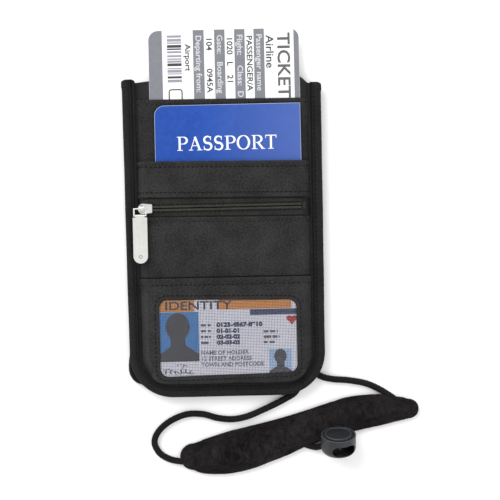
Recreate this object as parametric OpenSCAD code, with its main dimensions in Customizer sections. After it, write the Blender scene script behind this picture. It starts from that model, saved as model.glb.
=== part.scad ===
// Neck pouch wallet, lying on its back with its cord and neck pad laid out in front of it.
// +X is the wearer's left, +Y is towards the pouch's mouth and +Z is out of the pouch's front.

/* [Pouch] */
// Width across the mouth
pouch_top_w = 120.4; // [118:0.2:124]
// Width above the round bottom corners
pouch_bottom_w = 118; // [116:0.2:120]
// Height from the bottom edge to the mouth
pouch_h = 191; // [189:0.5:196]
// Radius of the bottom corners
corner_r = 26; // [25:0.5:27]
// Width of the edge binding
binding_w = 8; // [7.6:0.1:8]
// Thickness of the outer fabric
fabric_t = 0.6; // [0.5:0.05:0.6]

/* [Pockets] */
// Height of the slip pocket's mouth above the pouch's middle
slip_mouth_y = 84.5; // [82:0.5:88]
// Height of the passport pocket's mouth above the pouch's middle
passport_mouth_y = 47; // [44:0.5:52]
// Height of the zip above the pouch's middle
zip_y = 18.5; // [17:0.5:20]
// Height of the card pocket's mouth below the pouch's middle
card_mouth_y = -22.5; // [-26:0.5:-20]
// Width of the card window
window_w = 82; // [78:0.5:83]
// Height of the card window
window_h = 46; // [42:0.5:47]

/* [Contents] */
// Width of the passport
passport_w = 88; // [86:0.5:88]
// Height of the passport
passport_h = 125; // [120:1:126]
// Thickness of the passport's block of pages
pages_t = 0.6; // [0.4:0.1:0.6]
// Width of the boarding pass
pass_w = 91; // [82:0.5:91]
// Length of the boarding pass
pass_h = 195; // [190:1:203]

/* [Zip] */
// Length of the slider's body
slider_l = 8.5; // [8:0.1:9]
// Width of the slider's body
slider_w = 6.2; // [5.8:0.1:6.4]
// Distance between neighbouring teeth
tooth_pitch = 1.4; // [1.3:0.1:1.8]
// Length of the pull's tab
tab_l = 28.5; // [24:0.1:30]
// Width of the pull's tab
tab_w = 8.6; // [8.4:0.1:9.4]

/* [Cord and lock] */
// Diameter of the cord
cord_d = 4; // [3.8:0.1:4]
// Outer radius of the cord lock
lock_r = 10.5; // [10.3:0.1:10.6]
// Length of the cord lock's barrel
lock_l = 11.9; // [11.8:0.1:13]
// Travel of the cord lock's button
button_travel = 2.4; // [2:0.1:2.4]
// Slope at which the cord lock leans on the neck pad
lock_tilt = 20; // [20:0.5:21]

/* [Hidden] */
$fn = 48;
eps = 0.01;

// Outline of the pouch
half_h = pouch_h / 2;
top_hw = pouch_top_w / 2;
bottom_hw = pouch_bottom_w / 2;

// Heights of the layers at the sewn edge, from the back outwards
lining_t = 0.3;
back_z = 4.5;
lining_z = back_z + fabric_t;
slip_edge_z = lining_z + lining_t;
zip_lining_edge_z = slip_edge_z + fabric_t;
front_edge_z = zip_lining_edge_z + lining_t + 0.4;
card_edge_z = front_edge_z + fabric_t;
binding_t = 0.4;
binding_top_z = card_edge_z + fabric_t + binding_t;

// Heights of the same layers over the filled pockets
play = 0.25;
pass_t = 0.4;
cover_t = 0.3;
passport_t = 2 * cover_t + pages_t;
card_t = 0.8;
pass_z = slip_edge_z + play;
slip_z = pass_z + pass_t + play;
passport_z = slip_z + fabric_t + play;
zip_lining_z = passport_z + passport_t + play;
slider_gap = 0.3;
slider_plate_t = 0.7;
slider_base_z = zip_lining_z + lining_t + slider_gap;
tape_z = slider_base_z + slider_plate_t + slider_gap;
tape_t = 0.4;
front_z = tape_z + tape_t;
card_z = front_z + fabric_t + play;
card_panel_z = card_z + card_t + play;

// Insets of the raised pocket walls from the pouch's outline
edge_inset = 0.7;
wall_gap = 0.2;
card_inset = binding_w + wall_gap;
front_inset = card_inset + fabric_t;
zip_lining_inset = front_inset + fabric_t;
slip_inset = zip_lining_inset + lining_t;

// Places of the contents across the pouch
passport_x = 3.3;
passport_top_y = 80.5;
pass_x = 2;
pass_top_y = 126;
card_w = 85.6;
card_h = 54;
card_x = 1;
card_bottom_y = -83.5;
window_x = 1;
window_bottom_y = -82.5;

// Zip
zip_half_l = 50;
zip_open_up = 6;
zip_open_down = 5.5;
tape_w = 9;
tooth_h = 1.2;
tooth_w = 1.5;
tooth_gap = 0.45;
teeth_z = tape_z + tape_t;
slider_top_z = teeth_z + tooth_h + slider_gap;
slider_overhang = 1.5;
slider_left_x = -zip_half_l - slider_overhang;
bail_z = slider_top_z + slider_plate_t + 0.9;
wire_r = 0.5;
arch_r = 2.1;
arch_drop = 0.4;
arch_play = 0.08;
post_inset = 0.5;
post_l = 1.8;
slider_tail_l = 2;
slider_tail_trim = 1.2;
bail_left_x = -53.8;
bail_right_x = -46.8;
bail_l = 4.2;
tab_t = 1.6;
tab_side_play = 0.2;
tab_wire_play = 0.06;
tab_shoulder = 1;
tab_dimple_y = 4;
tab_dimple_r = 1;
tab_dimple_depth = 0.3;
tab_x = (bail_left_x + bail_right_x) / 2;

// Neck pad: points along its middle with the half width at each
pad_line = [
    [-22, -132, 8], [-14, -132, 10.5], [0, -130, 12.5], [15, -126.5, 12.5], [30, -122, 11.5],
    [45, -117, 10.5], [60, -112.5, 10.5], [75, -108.5, 10.5], [90, -106.5, 9.5], [102, -106, 7.5],
    [109, -106, 6]
];
pad_base_t = 0.8;
pad_core_t = 2.6;
pad_cover_t = 0.8;

// Cord lock, modelled upright about its own axis
lock_x = 65.5;
lock_y = -130.6;
lock_end_r = 4;
lock_z = (lock_r - lock_end_r) * cos(lock_tilt) + lock_end_r - lock_end_r * sin(lock_tilt);
lock_wall = 1.4;
lock_floor = 1.6;
button_r = lock_r - lock_wall - 0.15;
button_stand = 0.6;
foot_gap = 0.2;
button_foot = lock_floor + foot_gap + button_travel;
face_recess = 0.6;
face_rim = 1.2;
face_pip_r = 0.5;
face_pip_h = 0.2;
spring_pocket_top = 10.7;
spring_play = 0.4;
slot_play = 0.3;
slot_turn = 20;
slot_z = 5.2;
slot_h = 6.6;
slot_w = 14.4;
button_slot_w = 15.6;
spring_r = 1.8;
spring_wire_r = 0.3;
spring_turns = 3;
spring_l = 3.1;

// Cord routes, from the pouch outwards
cord_r = cord_d / 2;
cord_z = 2;
anchor_z = back_z / 2;
left_route = [
    [-50, 80, anchor_z], [-50, 66, anchor_z], [-50.5, 45, cord_z], [-51.5, 20, cord_z],
    [-52.5, -5, cord_z], [-53.5, -30, cord_z], [-55, -52, cord_z], [-56.8, -66, cord_z],
    [-58, -74, cord_z], [-57.7, -80.5, cord_z], [-54.2, -85, cord_z], [-48, -85.8, cord_z],
    [-40, -85, cord_z],
    [-25, -83, cord_z], [-5, -81, cord_z], [15, -79.5, cord_z], [28, -78.5, cord_z],
    [35, -79.5, cord_z], [40.5, -83, cord_z], [43, -89, cord_z], [40.5, -94.5, cord_z],
    [35, -98, cord_z], [28, -101.5, cord_z], [20, -105, cord_z], [11, -108.5, cord_z],
    [2, -110, cord_z], [-7, -109, cord_z], [-16, -106.5, cord_z], [-26, -106.5, cord_z],
    [-36, -110.5, cord_z], [-43, -116.5, cord_z], [-45.5, -123, cord_z], [-42.5, -129.5, cord_z],
    [-36, -133.5, cord_z], [-28, -135, cord_z], [-19, -135, cord_z]
];
right_route = [
    [50, 80, anchor_z], [50, 66, anchor_z], [50.5, 45, cord_z], [50, 20, cord_z],
    [49, -5, cord_z], [47.5, -30, cord_z], [46, -52, cord_z], [45.5, -66, cord_z],
    [46.5, -74, cord_z], [50, -80.5, cord_z], [56, -85, cord_z], [63, -87, cord_z],
    [73, -88, cord_z], [83, -90, cord_z], [91, -93.5, cord_z], [98, -98, cord_z],
    [104, -102.5, cord_z]
];
tail_route = [
    [34, -119, cord_z], [41, -124, cord_z], [48, -127, cord_z], [53, -128, 2.4],
    [57.5, -126.5, 4.2]
];

// Widest points of the pad, for the origin below
function unit(v) = v / norm(v);
function heading(p, i) = unit(p[min(i + 1, len(p) - 1)] - p[max(i - 1, 0)]);
function flat(p) = [p[0], p[1], 0];
function pad_flat() = [for (p = pad_line) flat(p)];
function pad_side(side, shrink) = [
    for (i = [0 : len(pad_line) - 1])
        let (t = heading(pad_flat(), i))
        [pad_line[i][0] - side * t[1] * (pad_line[i][2] - shrink),
         pad_line[i][1] + side * t[0] * (pad_line[i][2] - shrink)]
];
function reversed(list) = [for (i = [len(list) - 1 : -1 : 0]) list[i]];
pad_last = pad_line[len(pad_line) - 1];
pad_right_x = pad_last[0] + pad_last[2];
pad_low_y = min([for (p = pad_side(-1, 0)) p[1]]);

// The origin stands under the middle of everything but the cords
origin_shift = [(top_hw - pad_right_x) / 2, -(pad_low_y + pass_top_y) / 2, 0];

// The cord's last stretch climbs into the lock along its slot
slot_dir = [sin(slot_turn), -cos(slot_turn) * sin(lock_tilt), cos(slot_turn) * cos(lock_tilt)];
slot_side = [cos(slot_turn), sin(slot_turn) * sin(lock_tilt), -sin(slot_turn) * cos(lock_tilt)];
slot_mid = [lock_x, lock_y + slot_z * cos(lock_tilt), lock_z + slot_z * sin(lock_tilt)];
tail_shift = -4.2;
tail_end = [for (s = [-3.5, 0, 6.5]) slot_mid + slot_dir * s + slot_side * tail_shift];

module at_origin() {
    translate(origin_shift)
        children();
}

// ---- Pouch fabric -----------------------------------------------------------------------

module pouch_outline(inset) {
    hull() {
        for (side = [-1, 1])
            translate([side * (bottom_hw - corner_r), -half_h + corner_r])
                circle(corner_r - inset);
        translate([-top_hw + inset, half_h - 1])
            square([pouch_top_w - 2 * inset, 1]);
    }
}

// Everything under one layer: low at the sewn edge, raised over the pockets
module below_layer(edge_z, flat_z, inset) {
    linear_extrude(height = edge_z)
        pouch_outline(edge_inset);
    linear_extrude(height = flat_z)
        pouch_outline(inset);
}

module between(y_low, y_high) {
    intersection() {
        children();
        translate([-pouch_top_w, y_low, 0])
            cube([2 * pouch_top_w, y_high - y_low, 30]);
    }
}

// One layer of fabric from the pouch's bottom, or from y_low, up to y_high
module layer(edge_z, flat_z, inset, t, y_low, y_high) {
    between(y_low, y_high)
        difference() {
            below_layer(edge_z + t, flat_z + t, inset);
            translate([0, 0, -eps])
                below_layer(edge_z + eps, flat_z + eps, inset + t);
        }
}

module flat_layer(z, t, y_high) {
    between(-half_h, y_high)
        translate([0, 0, z])
            linear_extrude(height = t)
                pouch_outline(edge_inset);
}

back_top_y = half_h - 0.6;

module back_panel() {
    color("#26262a")
        at_origin()
            flat_layer(back_z, fabric_t, back_top_y);
}

module back_lining() {
    color("#1c1c20")
        at_origin()
            flat_layer(lining_z, lining_t, back_top_y - 1);
}

module slip_pocket_panel() {
    color("#2b2b2f")
        at_origin()
            layer(slip_edge_z, slip_z, slip_inset, fabric_t, -half_h, slip_mouth_y);
}

module zip_pocket_lining() {
    color("#1c1c20")
        at_origin()
            layer(zip_lining_edge_z, zip_lining_z, zip_lining_inset, lining_t, -half_h, zip_y + 12);
}

module passport_pocket_panel() {
    color("#2b2b2f")
        at_origin()
            layer(front_edge_z, front_z, front_inset, fabric_t, zip_y + zip_open_up, passport_mouth_y);
}

module zip_pocket_panel() {
    color("#2b2b2f")
        at_origin()
            layer(front_edge_z, front_z, front_inset, fabric_t, -half_h, zip_y - zip_open_down);
}

window_r = 5;

module window_outline() {
    hull()
        for (x = [window_r, window_w - window_r], y = [window_r, window_h - window_r])
            translate([window_x - window_w / 2 + x, window_bottom_y + y])
                circle(window_r);
}

module card_pocket_panel() {
    color("#2b2b2f")
        at_origin()
            difference() {
                layer(card_edge_z, card_panel_z, card_inset, fabric_t, -half_h, card_mouth_y);
                translate([0, 0, card_z])
                    linear_extrude(height = 4)
                        window_outline();
            }
}

module card_window() {
    color("#9fa4ad", 0.4)
        at_origin()
            translate([0, 0, card_panel_z])
                linear_extrude(height = lining_t)
                    window_outline();
}

// A fold of tape around the sides and the bottom
module edge_binding() {
    color("#232326")
        at_origin()
            difference() {
                translate([0, 0, back_z - binding_t])
                    linear_extrude(height = binding_top_z - back_z + binding_t)
                        pouch_outline(0);
                linear_extrude(height = 30)
                    translate([0, half_h])
                        square([pouch_top_w - 2 * binding_w, 4], center = true);
                linear_extrude(height = 30)
                    pouch_outline(binding_w);
                between(-half_h, half_h - 0.5)
                    translate([0, 0, back_z])
                        linear_extrude(height = binding_top_z - back_z - binding_t)
                            pouch_outline(edge_inset - wall_gap);
            }
}

// ---- Zip --------------------------------------------------------------------------------

module zip_tape(side) {
    translate([-zip_half_l, zip_y + (side > 0 ? 0.8 : -0.8 - tape_w), tape_z])
        cube([2 * zip_half_l, tape_w, tape_t]);
}

module zipper_tape_upper() {
    color("#1f1f22")
        at_origin()
            zip_tape(1);
}

module zipper_tape_lower() {
    color("#1f1f22")
        at_origin()
            zip_tape(-1);
}

teeth_half_l = zip_half_l - 3.4;

module zip_teeth(side) {
    for (x = [-teeth_half_l + (side > 0 ? 0 : tooth_pitch / 2) : tooth_pitch : teeth_half_l - 1])
        translate([x, zip_y + (side > 0 ? tooth_gap : -tooth_gap - tooth_w), teeth_z])
            cube([tooth_pitch * 0.55, tooth_w, tooth_h]);
}

module zipper_teeth_upper() {
    color("#3a3a36")
        at_origin()
            zip_teeth(1);
}

module zipper_teeth_lower() {
    color("#3a3a36")
        at_origin()
            zip_teeth(-1);
}

stop_l = 2;

module zipper_end_stops() {
    color("#3a3a36")
        at_origin()
            translate([teeth_half_l + 0.6, zip_y - 2.2, teeth_z])
                cube([stop_l, 4.4, tooth_h]);
}

post_w = 0.5;
arch_l = 2.6;
arch_back = 1.85;
arch_x = slider_left_x + slider_l / 2 - arch_back;

module slider_outline() {
    tail_w = slider_w - slider_tail_trim;
    hull() {
        translate([slider_left_x + slider_w / 2, zip_y])
            circle(slider_w / 2);
        translate([slider_left_x + slider_l - slider_tail_l, zip_y - tail_w / 2])
            square([slider_tail_l, tail_w]);
    }
}

// Two plates joined by a thin post, with an arch on top for the pull
module slider_body() {
    color("#d8d9db")
        at_origin() {
            for (z = [slider_base_z, slider_top_z])
                translate([0, 0, z])
                    linear_extrude(height = slider_plate_t)
                        slider_outline();
            translate([slider_left_x + post_inset, zip_y - post_w / 2, slider_base_z])
                cube([post_l, post_w, slider_top_z - slider_base_z + eps]);
            difference() {
                intersection() {
                    translate([arch_x - arch_l / 2, zip_y, bail_z - arch_drop])
                        rotate([0, 90, 0])
                            cylinder(h = arch_l, r = arch_r);
                    translate([arch_x - arch_l, zip_y - slider_w / 2, slider_top_z + slider_plate_t - eps])
                        cube([2 * arch_l, slider_w, 2 * arch_r]);
                }
                translate([arch_x - arch_l, zip_y, bail_z])
                    rotate([0, 90, 0])
                        cylinder(h = 2 * arch_l, r = wire_r + arch_play);
            }
        }
}

// A closed loop of wire: one bar through the slider's arch, one through the tab
module pull_bail() {
    color("#d8d9db")
        at_origin()
            translate([0, zip_y, bail_z]) {
                for (y = [0, -bail_l])
                    translate([bail_left_x, y, 0])
                        rotate([0, 90, 0])
                            cylinder(h = bail_right_x - bail_left_x, r = wire_r);
                for (x = [bail_left_x, bail_right_x])
                    translate([x, 0, 0])
                        rotate([90, 0, 0])
                            cylinder(h = bail_l, r = wire_r);
                for (x = [bail_left_x, bail_right_x], y = [0, -bail_l])
                    translate([x, y, 0])
                        sphere(wire_r);
            }
}

// A flat tab with a round end, cut away at the top where it turns on the wire
module pull_tab() {
    hinge_w = bail_right_x - bail_left_x - 2 * (wire_r + tab_side_play);
    color("#e2e2e0")
        at_origin()
            translate([tab_x, zip_y - bail_l, bail_z])
                difference() {
                    union() {
                        translate([0, 0, -tab_t / 2])
                            linear_extrude(height = tab_t) {
                                translate([-tab_w / 2, -tab_l + tab_w / 2])
                                    square([tab_w, tab_l - tab_w / 2 - tab_shoulder]);
                                translate([0, -tab_l + tab_w / 2])
                                    circle(tab_w / 2);
                            }
                        translate([-hinge_w / 2, -tab_shoulder - eps, -tab_t / 2])
                            cube([hinge_w, tab_shoulder + eps, tab_t]);
                        translate([-hinge_w / 2, 0, 0])
                            rotate([0, 90, 0])
                                cylinder(h = hinge_w, r = tab_t / 2);
                    }
                    translate([-tab_w, 0, 0])
                        rotate([0, 90, 0])
                            cylinder(h = 2 * tab_w, r = wire_r + tab_wire_play);
                    translate([0, -tab_l + tab_dimple_y, tab_t / 2 - tab_dimple_depth])
                        cylinder(h = tab_t, r = tab_dimple_r);
                }
}

// ---- Contents ---------------------------------------------------------------------------

module booklet_outline(inset) {
    r = 6 - inset;
    hull() {
        translate([passport_w / 2 - 1, -passport_h + inset])
            square([1, passport_h - 2 * inset]);
        for (y = [-inset - r, -passport_h + inset + r])
            translate([-passport_w / 2 + inset + r, y])
                circle(r);
    }
}

module passport_cover() {
    color("#1f47c0")
        at_origin()
            translate([passport_x, passport_top_y, passport_z])
                difference() {
                    linear_extrude(height = passport_t)
                        booklet_outline(0);
                    translate([-0.6, 0, cover_t])
                        linear_extrude(height = pages_t)
                            translate([-passport_w, -2 * passport_h])
                                square([2 * passport_w, 4 * passport_h]);
                }
    color("#1f47c0")
        at_origin()
            translate([passport_x + passport_w / 2 - 0.8, passport_top_y - passport_h, passport_z])
                cube([0.8, passport_h, passport_t]);
}

module passport_pages() {
    color("#ece8dc")
        at_origin()
            translate([passport_x, passport_top_y, passport_z + cover_t])
                linear_extrude(height = pages_t)
                    intersection() {
                        booklet_outline(1);
                        translate([-passport_w / 2, -passport_h])
                            square([passport_w - 0.8, passport_h]);
                    }
}

module boarding_pass() {
    pass_r = 6;
    color("#f2f2f2")
        at_origin()
            translate([pass_x - pass_w / 2, pass_top_y - pass_h, pass_z])
                linear_extrude(height = pass_t)
                    hull()
                        for (x = [pass_r, pass_w - pass_r], y = [pass_r, pass_h - pass_r])
                            translate([x, y])
                                circle(pass_r);
}

module id_card() {
    card_r = 3.2;
    color("#e9e6ea")
        at_origin()
            translate([card_x - card_w / 2, card_bottom_y, card_z])
                linear_extrude(height = card_t)
                    hull()
                        for (x = [card_r, card_w - card_r], y = [card_r, card_h - card_r])
                            translate([x, y])
                                circle(card_r);
}

// ---- Cord -------------------------------------------------------------------------------

// A tube swept along a route that never runs straight up
module tube(route, r, sides) {
    last = len(route) - 1;
    points = [
        for (i = [0 : last])
            let (t = heading(route, i), across = unit(cross([0, 0, 1], t)), up = cross(t, across))
            for (k = [0 : sides - 1])
                let (a = 360 * (k + 0.5) / sides)
                route[i] + r * (cos(a) * across + sin(a) * up)
    ];
    walls = [
        for (i = [0 : last - 1], k = [0 : sides - 1])
            let (a = i * sides + k, b = i * sides + (k + 1) % sides)
            [a, a + sides, b + sides, b]
    ];
    polyhedron(
        points = points,
        faces = concat(
            [[for (k = [0 : sides - 1]) k]],
            walls,
            [[for (k = [sides - 1 : -1 : 0]) last * sides + k]]
        ),
        convexity = 10
    );
}

anchor_l = 16;
anchor_x = 50;
anchor_hole_l = 7;
anchor_clearance = 0.1;
anchor_w = 12;
anchor_low_y = 74;

// A folded loop of tape sewn to the pouch's back, closed around the cord's end
module cord_anchor(side) {
    under_binding_x = top_hw - binding_w - wall_gap;
    at_origin()
        difference() {
            translate([side * anchor_x - anchor_w / 2, anchor_low_y, 0])
                cube([anchor_w, anchor_l, back_z]);
            translate([side * anchor_x, anchor_low_y - 1, anchor_z])
                rotate([-90, 0, 0])
                    cylinder(h = anchor_hole_l + 1, r = cord_r + anchor_clearance);
            translate([side * (under_binding_x + anchor_w / 2) - anchor_w / 2, anchor_low_y - 1,
                       back_z - binding_t])
                cube([anchor_w, anchor_l + 2, 2 * binding_t]);
        }
}

module cord_anchor_left() {
    color("#232326")
        cord_anchor(-1);
}

module cord_anchor_right() {
    color("#232326")
        cord_anchor(1);
}

module cord_left() {
    color("#18181a")
        at_origin()
            tube(left_route, cord_r, 8);
}

module cord_right() {
    color("#18181a")
        at_origin()
            tube(right_route, cord_r, 8);
}

module cord_tail() {
    color("#18181a")
        at_origin()
            tube(concat(tail_route, tail_end), cord_r, 8);
}

// ---- Neck pad ---------------------------------------------------------------------------

// Points round one end of the pad, from one side to the other
function pad_end(p, t, r) = let (from = atan2(-t[0], t[1])) [
    for (k = [1 : 11])
        let (a = from + 180 * k / 12)
        [p[0] + r * cos(a), p[1] + r * sin(a)]
];

module pad_outline(shrink) {
    ends = [0, len(pad_line) - 1];
    way = [for (i = ends) heading(pad_flat(), i)];
    polygon(concat(
        pad_side(-1, shrink),
        pad_end(pad_last, way[1], pad_last[2] - shrink),
        reversed(pad_side(1, shrink)),
        pad_end(pad_line[0], -way[0], pad_line[0][2] - shrink)
    ));
}

module neck_pad_base() {
    color("#202024")
        at_origin()
            linear_extrude(height = pad_base_t)
                pad_outline(0);
}

pad_sleeve = 1.6;
dent_gap = 0.1;
dent_below = 2;

module lock_axis() {
    translate([lock_x, lock_y, lock_z])
        rotate([lock_tilt - 90, 0, 0])
            children();
}

// The room that the lock presses into the pad, and as much more as asked
module lock_dent(more) {
    lock_axis()
        translate([0, 0, -dent_below])
            cylinder(h = lock_l + 3 * dent_below, r = lock_r + dent_gap + more);
}

module pad_filling() {
    difference() {
        translate([0, 0, pad_base_t])
            linear_extrude(height = pad_core_t)
                pad_outline(pad_sleeve);
        lock_dent(pad_cover_t);
    }
}

module neck_pad_core() {
    color("#3a3a3f")
        at_origin()
            pad_filling();
}

module neck_pad_cover() {
    color("#28262a")
        at_origin()
            difference() {
                translate([0, 0, pad_base_t])
                    linear_extrude(height = pad_core_t + pad_cover_t)
                        pad_outline(0);
                pad_filling();
                lock_dent(0);
            }
}

// ---- Cord lock --------------------------------------------------------------------------

module lock_place() {
    at_origin()
        lock_axis()
            children();
}

// A slot with round ends, through the lock from side to side
module cord_slot(w, z_low, z_high) {
    r = min((z_high - z_low), w) / 2 - eps;
    rotate([0, 0, slot_turn])
        rotate([90, 0, 0])
            for (x = [-w / 2 + r, w / 2 - r])
                translate([x, z_low + r, -2 * lock_r])
                    cylinder(h = 4 * lock_r, r = r);
    rotate([0, 0, slot_turn])
        translate([-w / 2 + r, -2 * lock_r, z_low])
            cube([w - 2 * r, 4 * lock_r, z_high - z_low - 2 * eps]);
}

module lock_barrel() {
    color("#3b3e45")
        lock_place()
            difference() {
                rotate_extrude() {
                    translate([0, lock_end_r])
                        square([lock_r, lock_l - lock_end_r]);
                    square([lock_r - lock_end_r, lock_end_r + eps]);
                    translate([lock_r - lock_end_r, lock_end_r])
                        circle(lock_end_r);
                }
                translate([0, 0, lock_floor])
                    cylinder(h = lock_l, r = lock_r - lock_wall);
                cord_slot(slot_w, slot_z - slot_h / 2, slot_z + slot_h / 2);
            }
}

module lock_button() {
    color("#33363c")
        lock_place()
            difference() {
                translate([0, 0, button_foot])
                    cylinder(h = lock_l + button_stand - button_foot, r = button_r);
                cylinder(h = spring_pocket_top, r = spring_r + spring_wire_r + spring_play);
                translate([0, 0, lock_l + button_stand - face_recess])
                    difference() {
                        cylinder(h = 2 * face_recess, r = button_r - face_rim);
                        translate([0, 0, -face_recess])
                            cylinder(h = face_recess + face_pip_h, r = face_pip_r);
                    }
                cord_slot(button_slot_w, slot_z - slot_h / 2 - slot_play,
                          slot_z + slot_h / 2 + button_travel);
            }
}

spring_steps = 12;
spring_route = [
    for (i = [0 : spring_turns * spring_steps])
        let (a = 360 * i / spring_steps)
        [spring_r * cos(a), spring_r * sin(a),
         lock_floor + spring_wire_r + i * (spring_l - 2 * spring_wire_r) / (spring_turns * spring_steps)]
];

module lock_spring() {
    color("#b9bbc0")
        lock_place()
            tube(spring_route, spring_wire_r, 6);
}

back_panel();
back_lining();
slip_pocket_panel();
zip_pocket_lining();
passport_pocket_panel();
zip_pocket_panel();
card_pocket_panel();
card_window();
edge_binding();
zipper_tape_upper();
zipper_tape_lower();
zipper_teeth_upper();
zipper_teeth_lower();
zipper_end_stops();
slider_body();
pull_bail();
pull_tab();
passport_cover();
passport_pages();
boarding_pass();
id_card();
cord_anchor_left();
cord_anchor_right();
cord_left();
cord_right();
cord_tail();
neck_pad_base();
neck_pad_core();
neck_pad_cover();
lock_barrel();
lock_button();
lock_spring();
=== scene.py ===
"""Neck pouch wallet: the looks of every piece, laid over the CAD frame as a Blender add-on."""
import math

import bpy
import numpy as np
from bpy.props import FloatProperty, IntProperty, PointerProperty
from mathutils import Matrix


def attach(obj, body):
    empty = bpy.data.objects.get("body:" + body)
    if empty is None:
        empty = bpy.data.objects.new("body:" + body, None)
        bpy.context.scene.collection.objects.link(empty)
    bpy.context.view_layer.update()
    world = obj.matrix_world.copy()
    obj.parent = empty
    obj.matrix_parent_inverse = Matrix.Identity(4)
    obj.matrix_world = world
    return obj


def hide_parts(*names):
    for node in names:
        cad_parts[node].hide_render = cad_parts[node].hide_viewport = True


bl_info = {
    "name": "Neck Pouch Wallet",
    "version": (1, 0, 0),
    "blender": (4, 5, 0),
    "location": "View3D > Sidebar > Neck Pouch",
    "description": "Builds a neck pouch wallet with its contents, cords and neck pad",
    "category": "Add Mesh",
}

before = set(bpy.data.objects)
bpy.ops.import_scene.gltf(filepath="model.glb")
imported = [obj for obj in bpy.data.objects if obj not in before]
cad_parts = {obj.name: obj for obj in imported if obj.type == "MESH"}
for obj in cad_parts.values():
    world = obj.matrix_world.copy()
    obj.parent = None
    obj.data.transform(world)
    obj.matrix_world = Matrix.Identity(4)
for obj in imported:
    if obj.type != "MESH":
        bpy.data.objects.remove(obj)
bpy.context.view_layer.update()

# ---- Sizes, in millimetres from the middle of the pouch ---------------------------------
SHIFT = np.array([-27.4, 8.2285, 0.0])
MM = 0.001
TAU = 2 * math.pi

TOP_HW, BOTTOM_HW, HALF_H, CORNER_R = 60.2, 59.0, 95.5, 26.0
CORNER_X, CORNER_Y = BOTTOM_HW - CORNER_R, CORNER_R - HALF_H
BINDING_W = 8.0
BINDING_LOW, BINDING_TOP = 4.1, 8.3
SEAM_INSET = 7.4
END_ROUND = 1.8
FOLD_UP = (1.3, -2.7)
RISE = 5.0
CLOTH_T = 0.6
EDGE_BLEND = 10.0
BACK_TOP_Y, BACK_Z = 95.2, 5.1
# Each pocket edge across the pouch: its height at the middle and how much it falls to the right
MOUTHS = {"slip": (84.05, 0.009), "passport": (46.3, 0.013), "fold": (24.5, 0.014),
          "lower": (12.7, 0.012), "card": (-23.8, 0.003)}
BACK_TOP_X = (-60, -52, -43, 0, 40, 47.5, 52.5, 60)
BACK_TOP_RISE = (-0.5, -0.3, 0.7, 1.3, 1.8, 1.7, -2.8, -3.6)
WINDOW_MID, WINDOW_HALF, WINDOW_R = (1.0, -59.5), (41.0, 23.0), 5.0
WINDOW_TAPER = 0.055
CARD_MID, CARD_HALF = (1.0, -56.5), (42.8, 27.0)
CARD_TOP_Z, PASS_TOP_Z, COVER_TOP_Z = 12.25, 6.05, 8.35
# How far the front may stand up under the sliding card, and how low hems lie where things slide
CARD_ROOM, LOW_HEM, LOW_STITCH = 0.16, 0.18, 0.22
FILM_Z, FILM_LAP = 12.45, 1.5
LINING_T, LINING_Z = 0.3, 5.4
BINDING_MID_Z, BINDING_STITCH = 6.2, (4.5, 7.85)
TAPE_TOP_Z, COIL_Z, COIL_END_X, COIL_SWING, COIL_WIRE_R = 10.55, 11.1, 46.4, 0.5, 0.2

LEFT_ROUTE = [
    (-50, 80, 2.25), (-50, 66, 2.25), (-50.5, 45, 2), (-51.5, 20, 2), (-52.5, -5, 2),
    (-53.5, -30, 2), (-55, -52, 2), (-56.8, -66, 2), (-58, -74, 2), (-57.7, -80.5, 2),
    (-54.2, -85, 2), (-48, -85.8, 2), (-40, -85, 2), (-25, -83, 2), (-5, -81, 2), (15, -79.5, 2),
    (28, -78.5, 2), (35, -79.5, 2), (40.5, -83, 2), (43, -89, 2), (40.5, -94.5, 2),
    (35, -98, 2), (28, -101.5, 2), (20, -105, 2), (11, -108.5, 2), (2, -110, 2),
    (-7, -109, 2), (-16, -106.5, 2), (-26, -106.5, 2), (-36, -110.5, 2),
    (-43, -116.5, 2), (-45.5, -123, 2), (-42.5, -129.5, 2), (-36, -133.5, 2),
    (-28, -135, 2), (-19, -135, 2),
]
RIGHT_ROUTE = [
    (50, 80, 2.25), (50, 66, 2.25), (50.5, 45, 2), (50, 20, 2), (49, -5, 2),
    (47.5, -30, 2), (46, -52, 2), (45.5, -66, 2), (46.5, -74, 2), (50, -80.5, 2),
    (56, -85, 2), (63, -87, 2), (73, -88, 2), (83, -90, 2), (91, -93.5, 2),
    (98, -98, 2), (104, -102.5, 2),
]
LOCK_TILT, SLOT_TURN = math.radians(20), math.radians(20)
SLOT_DIR = np.array([math.sin(SLOT_TURN), -math.cos(SLOT_TURN) * math.sin(LOCK_TILT),
                     math.cos(SLOT_TURN) * math.cos(LOCK_TILT)])
SLOT_SIDE = np.array([math.cos(SLOT_TURN), math.sin(SLOT_TURN) * math.sin(LOCK_TILT),
                      -math.sin(SLOT_TURN) * math.cos(LOCK_TILT)])
LOCK_R, LOCK_END_R, SLOT_ALONG = 10.5, 4.0, 5.2
LOCK_X, LOCK_Y, LOCK_L, LOCK_GAP = 65.5, -130.6, 11.9, 0.15
# Middle and top of the painted shade ring round the pull tab's dimple.
TAB_SHADE_RING = (-50.3, -10.2, 14.5)
LOCK_Z = ((LOCK_R - LOCK_END_R) * math.cos(LOCK_TILT) + LOCK_END_R
          - LOCK_END_R * math.sin(LOCK_TILT))
SLOT_MID = np.array([LOCK_X, LOCK_Y + SLOT_ALONG * math.cos(LOCK_TILT),
                     LOCK_Z + SLOT_ALONG * math.sin(LOCK_TILT)])
TAIL_ROUTE = [(34, -119, 2), (41, -124, 2), (48, -127, 2), (53, -128, 2.4), (57.5, -126.5, 4.2)] + [
    tuple(SLOT_MID + SLOT_DIR * along + SLOT_SIDE * -4.2) for along in (-3.5, 0, 6.5)]

PAD_LINE = [
    (-22, -132, 8), (-14, -132, 10.5), (0, -130, 12.5), (15, -126.5, 12.5),
    (30, -122, 11.5), (45, -117, 10.5), (60, -112.5, 10.5), (75, -108.5, 10.5),
    (90, -106.5, 9.5), (102, -106, 7.5), (109, -106, 6),
]


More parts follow.
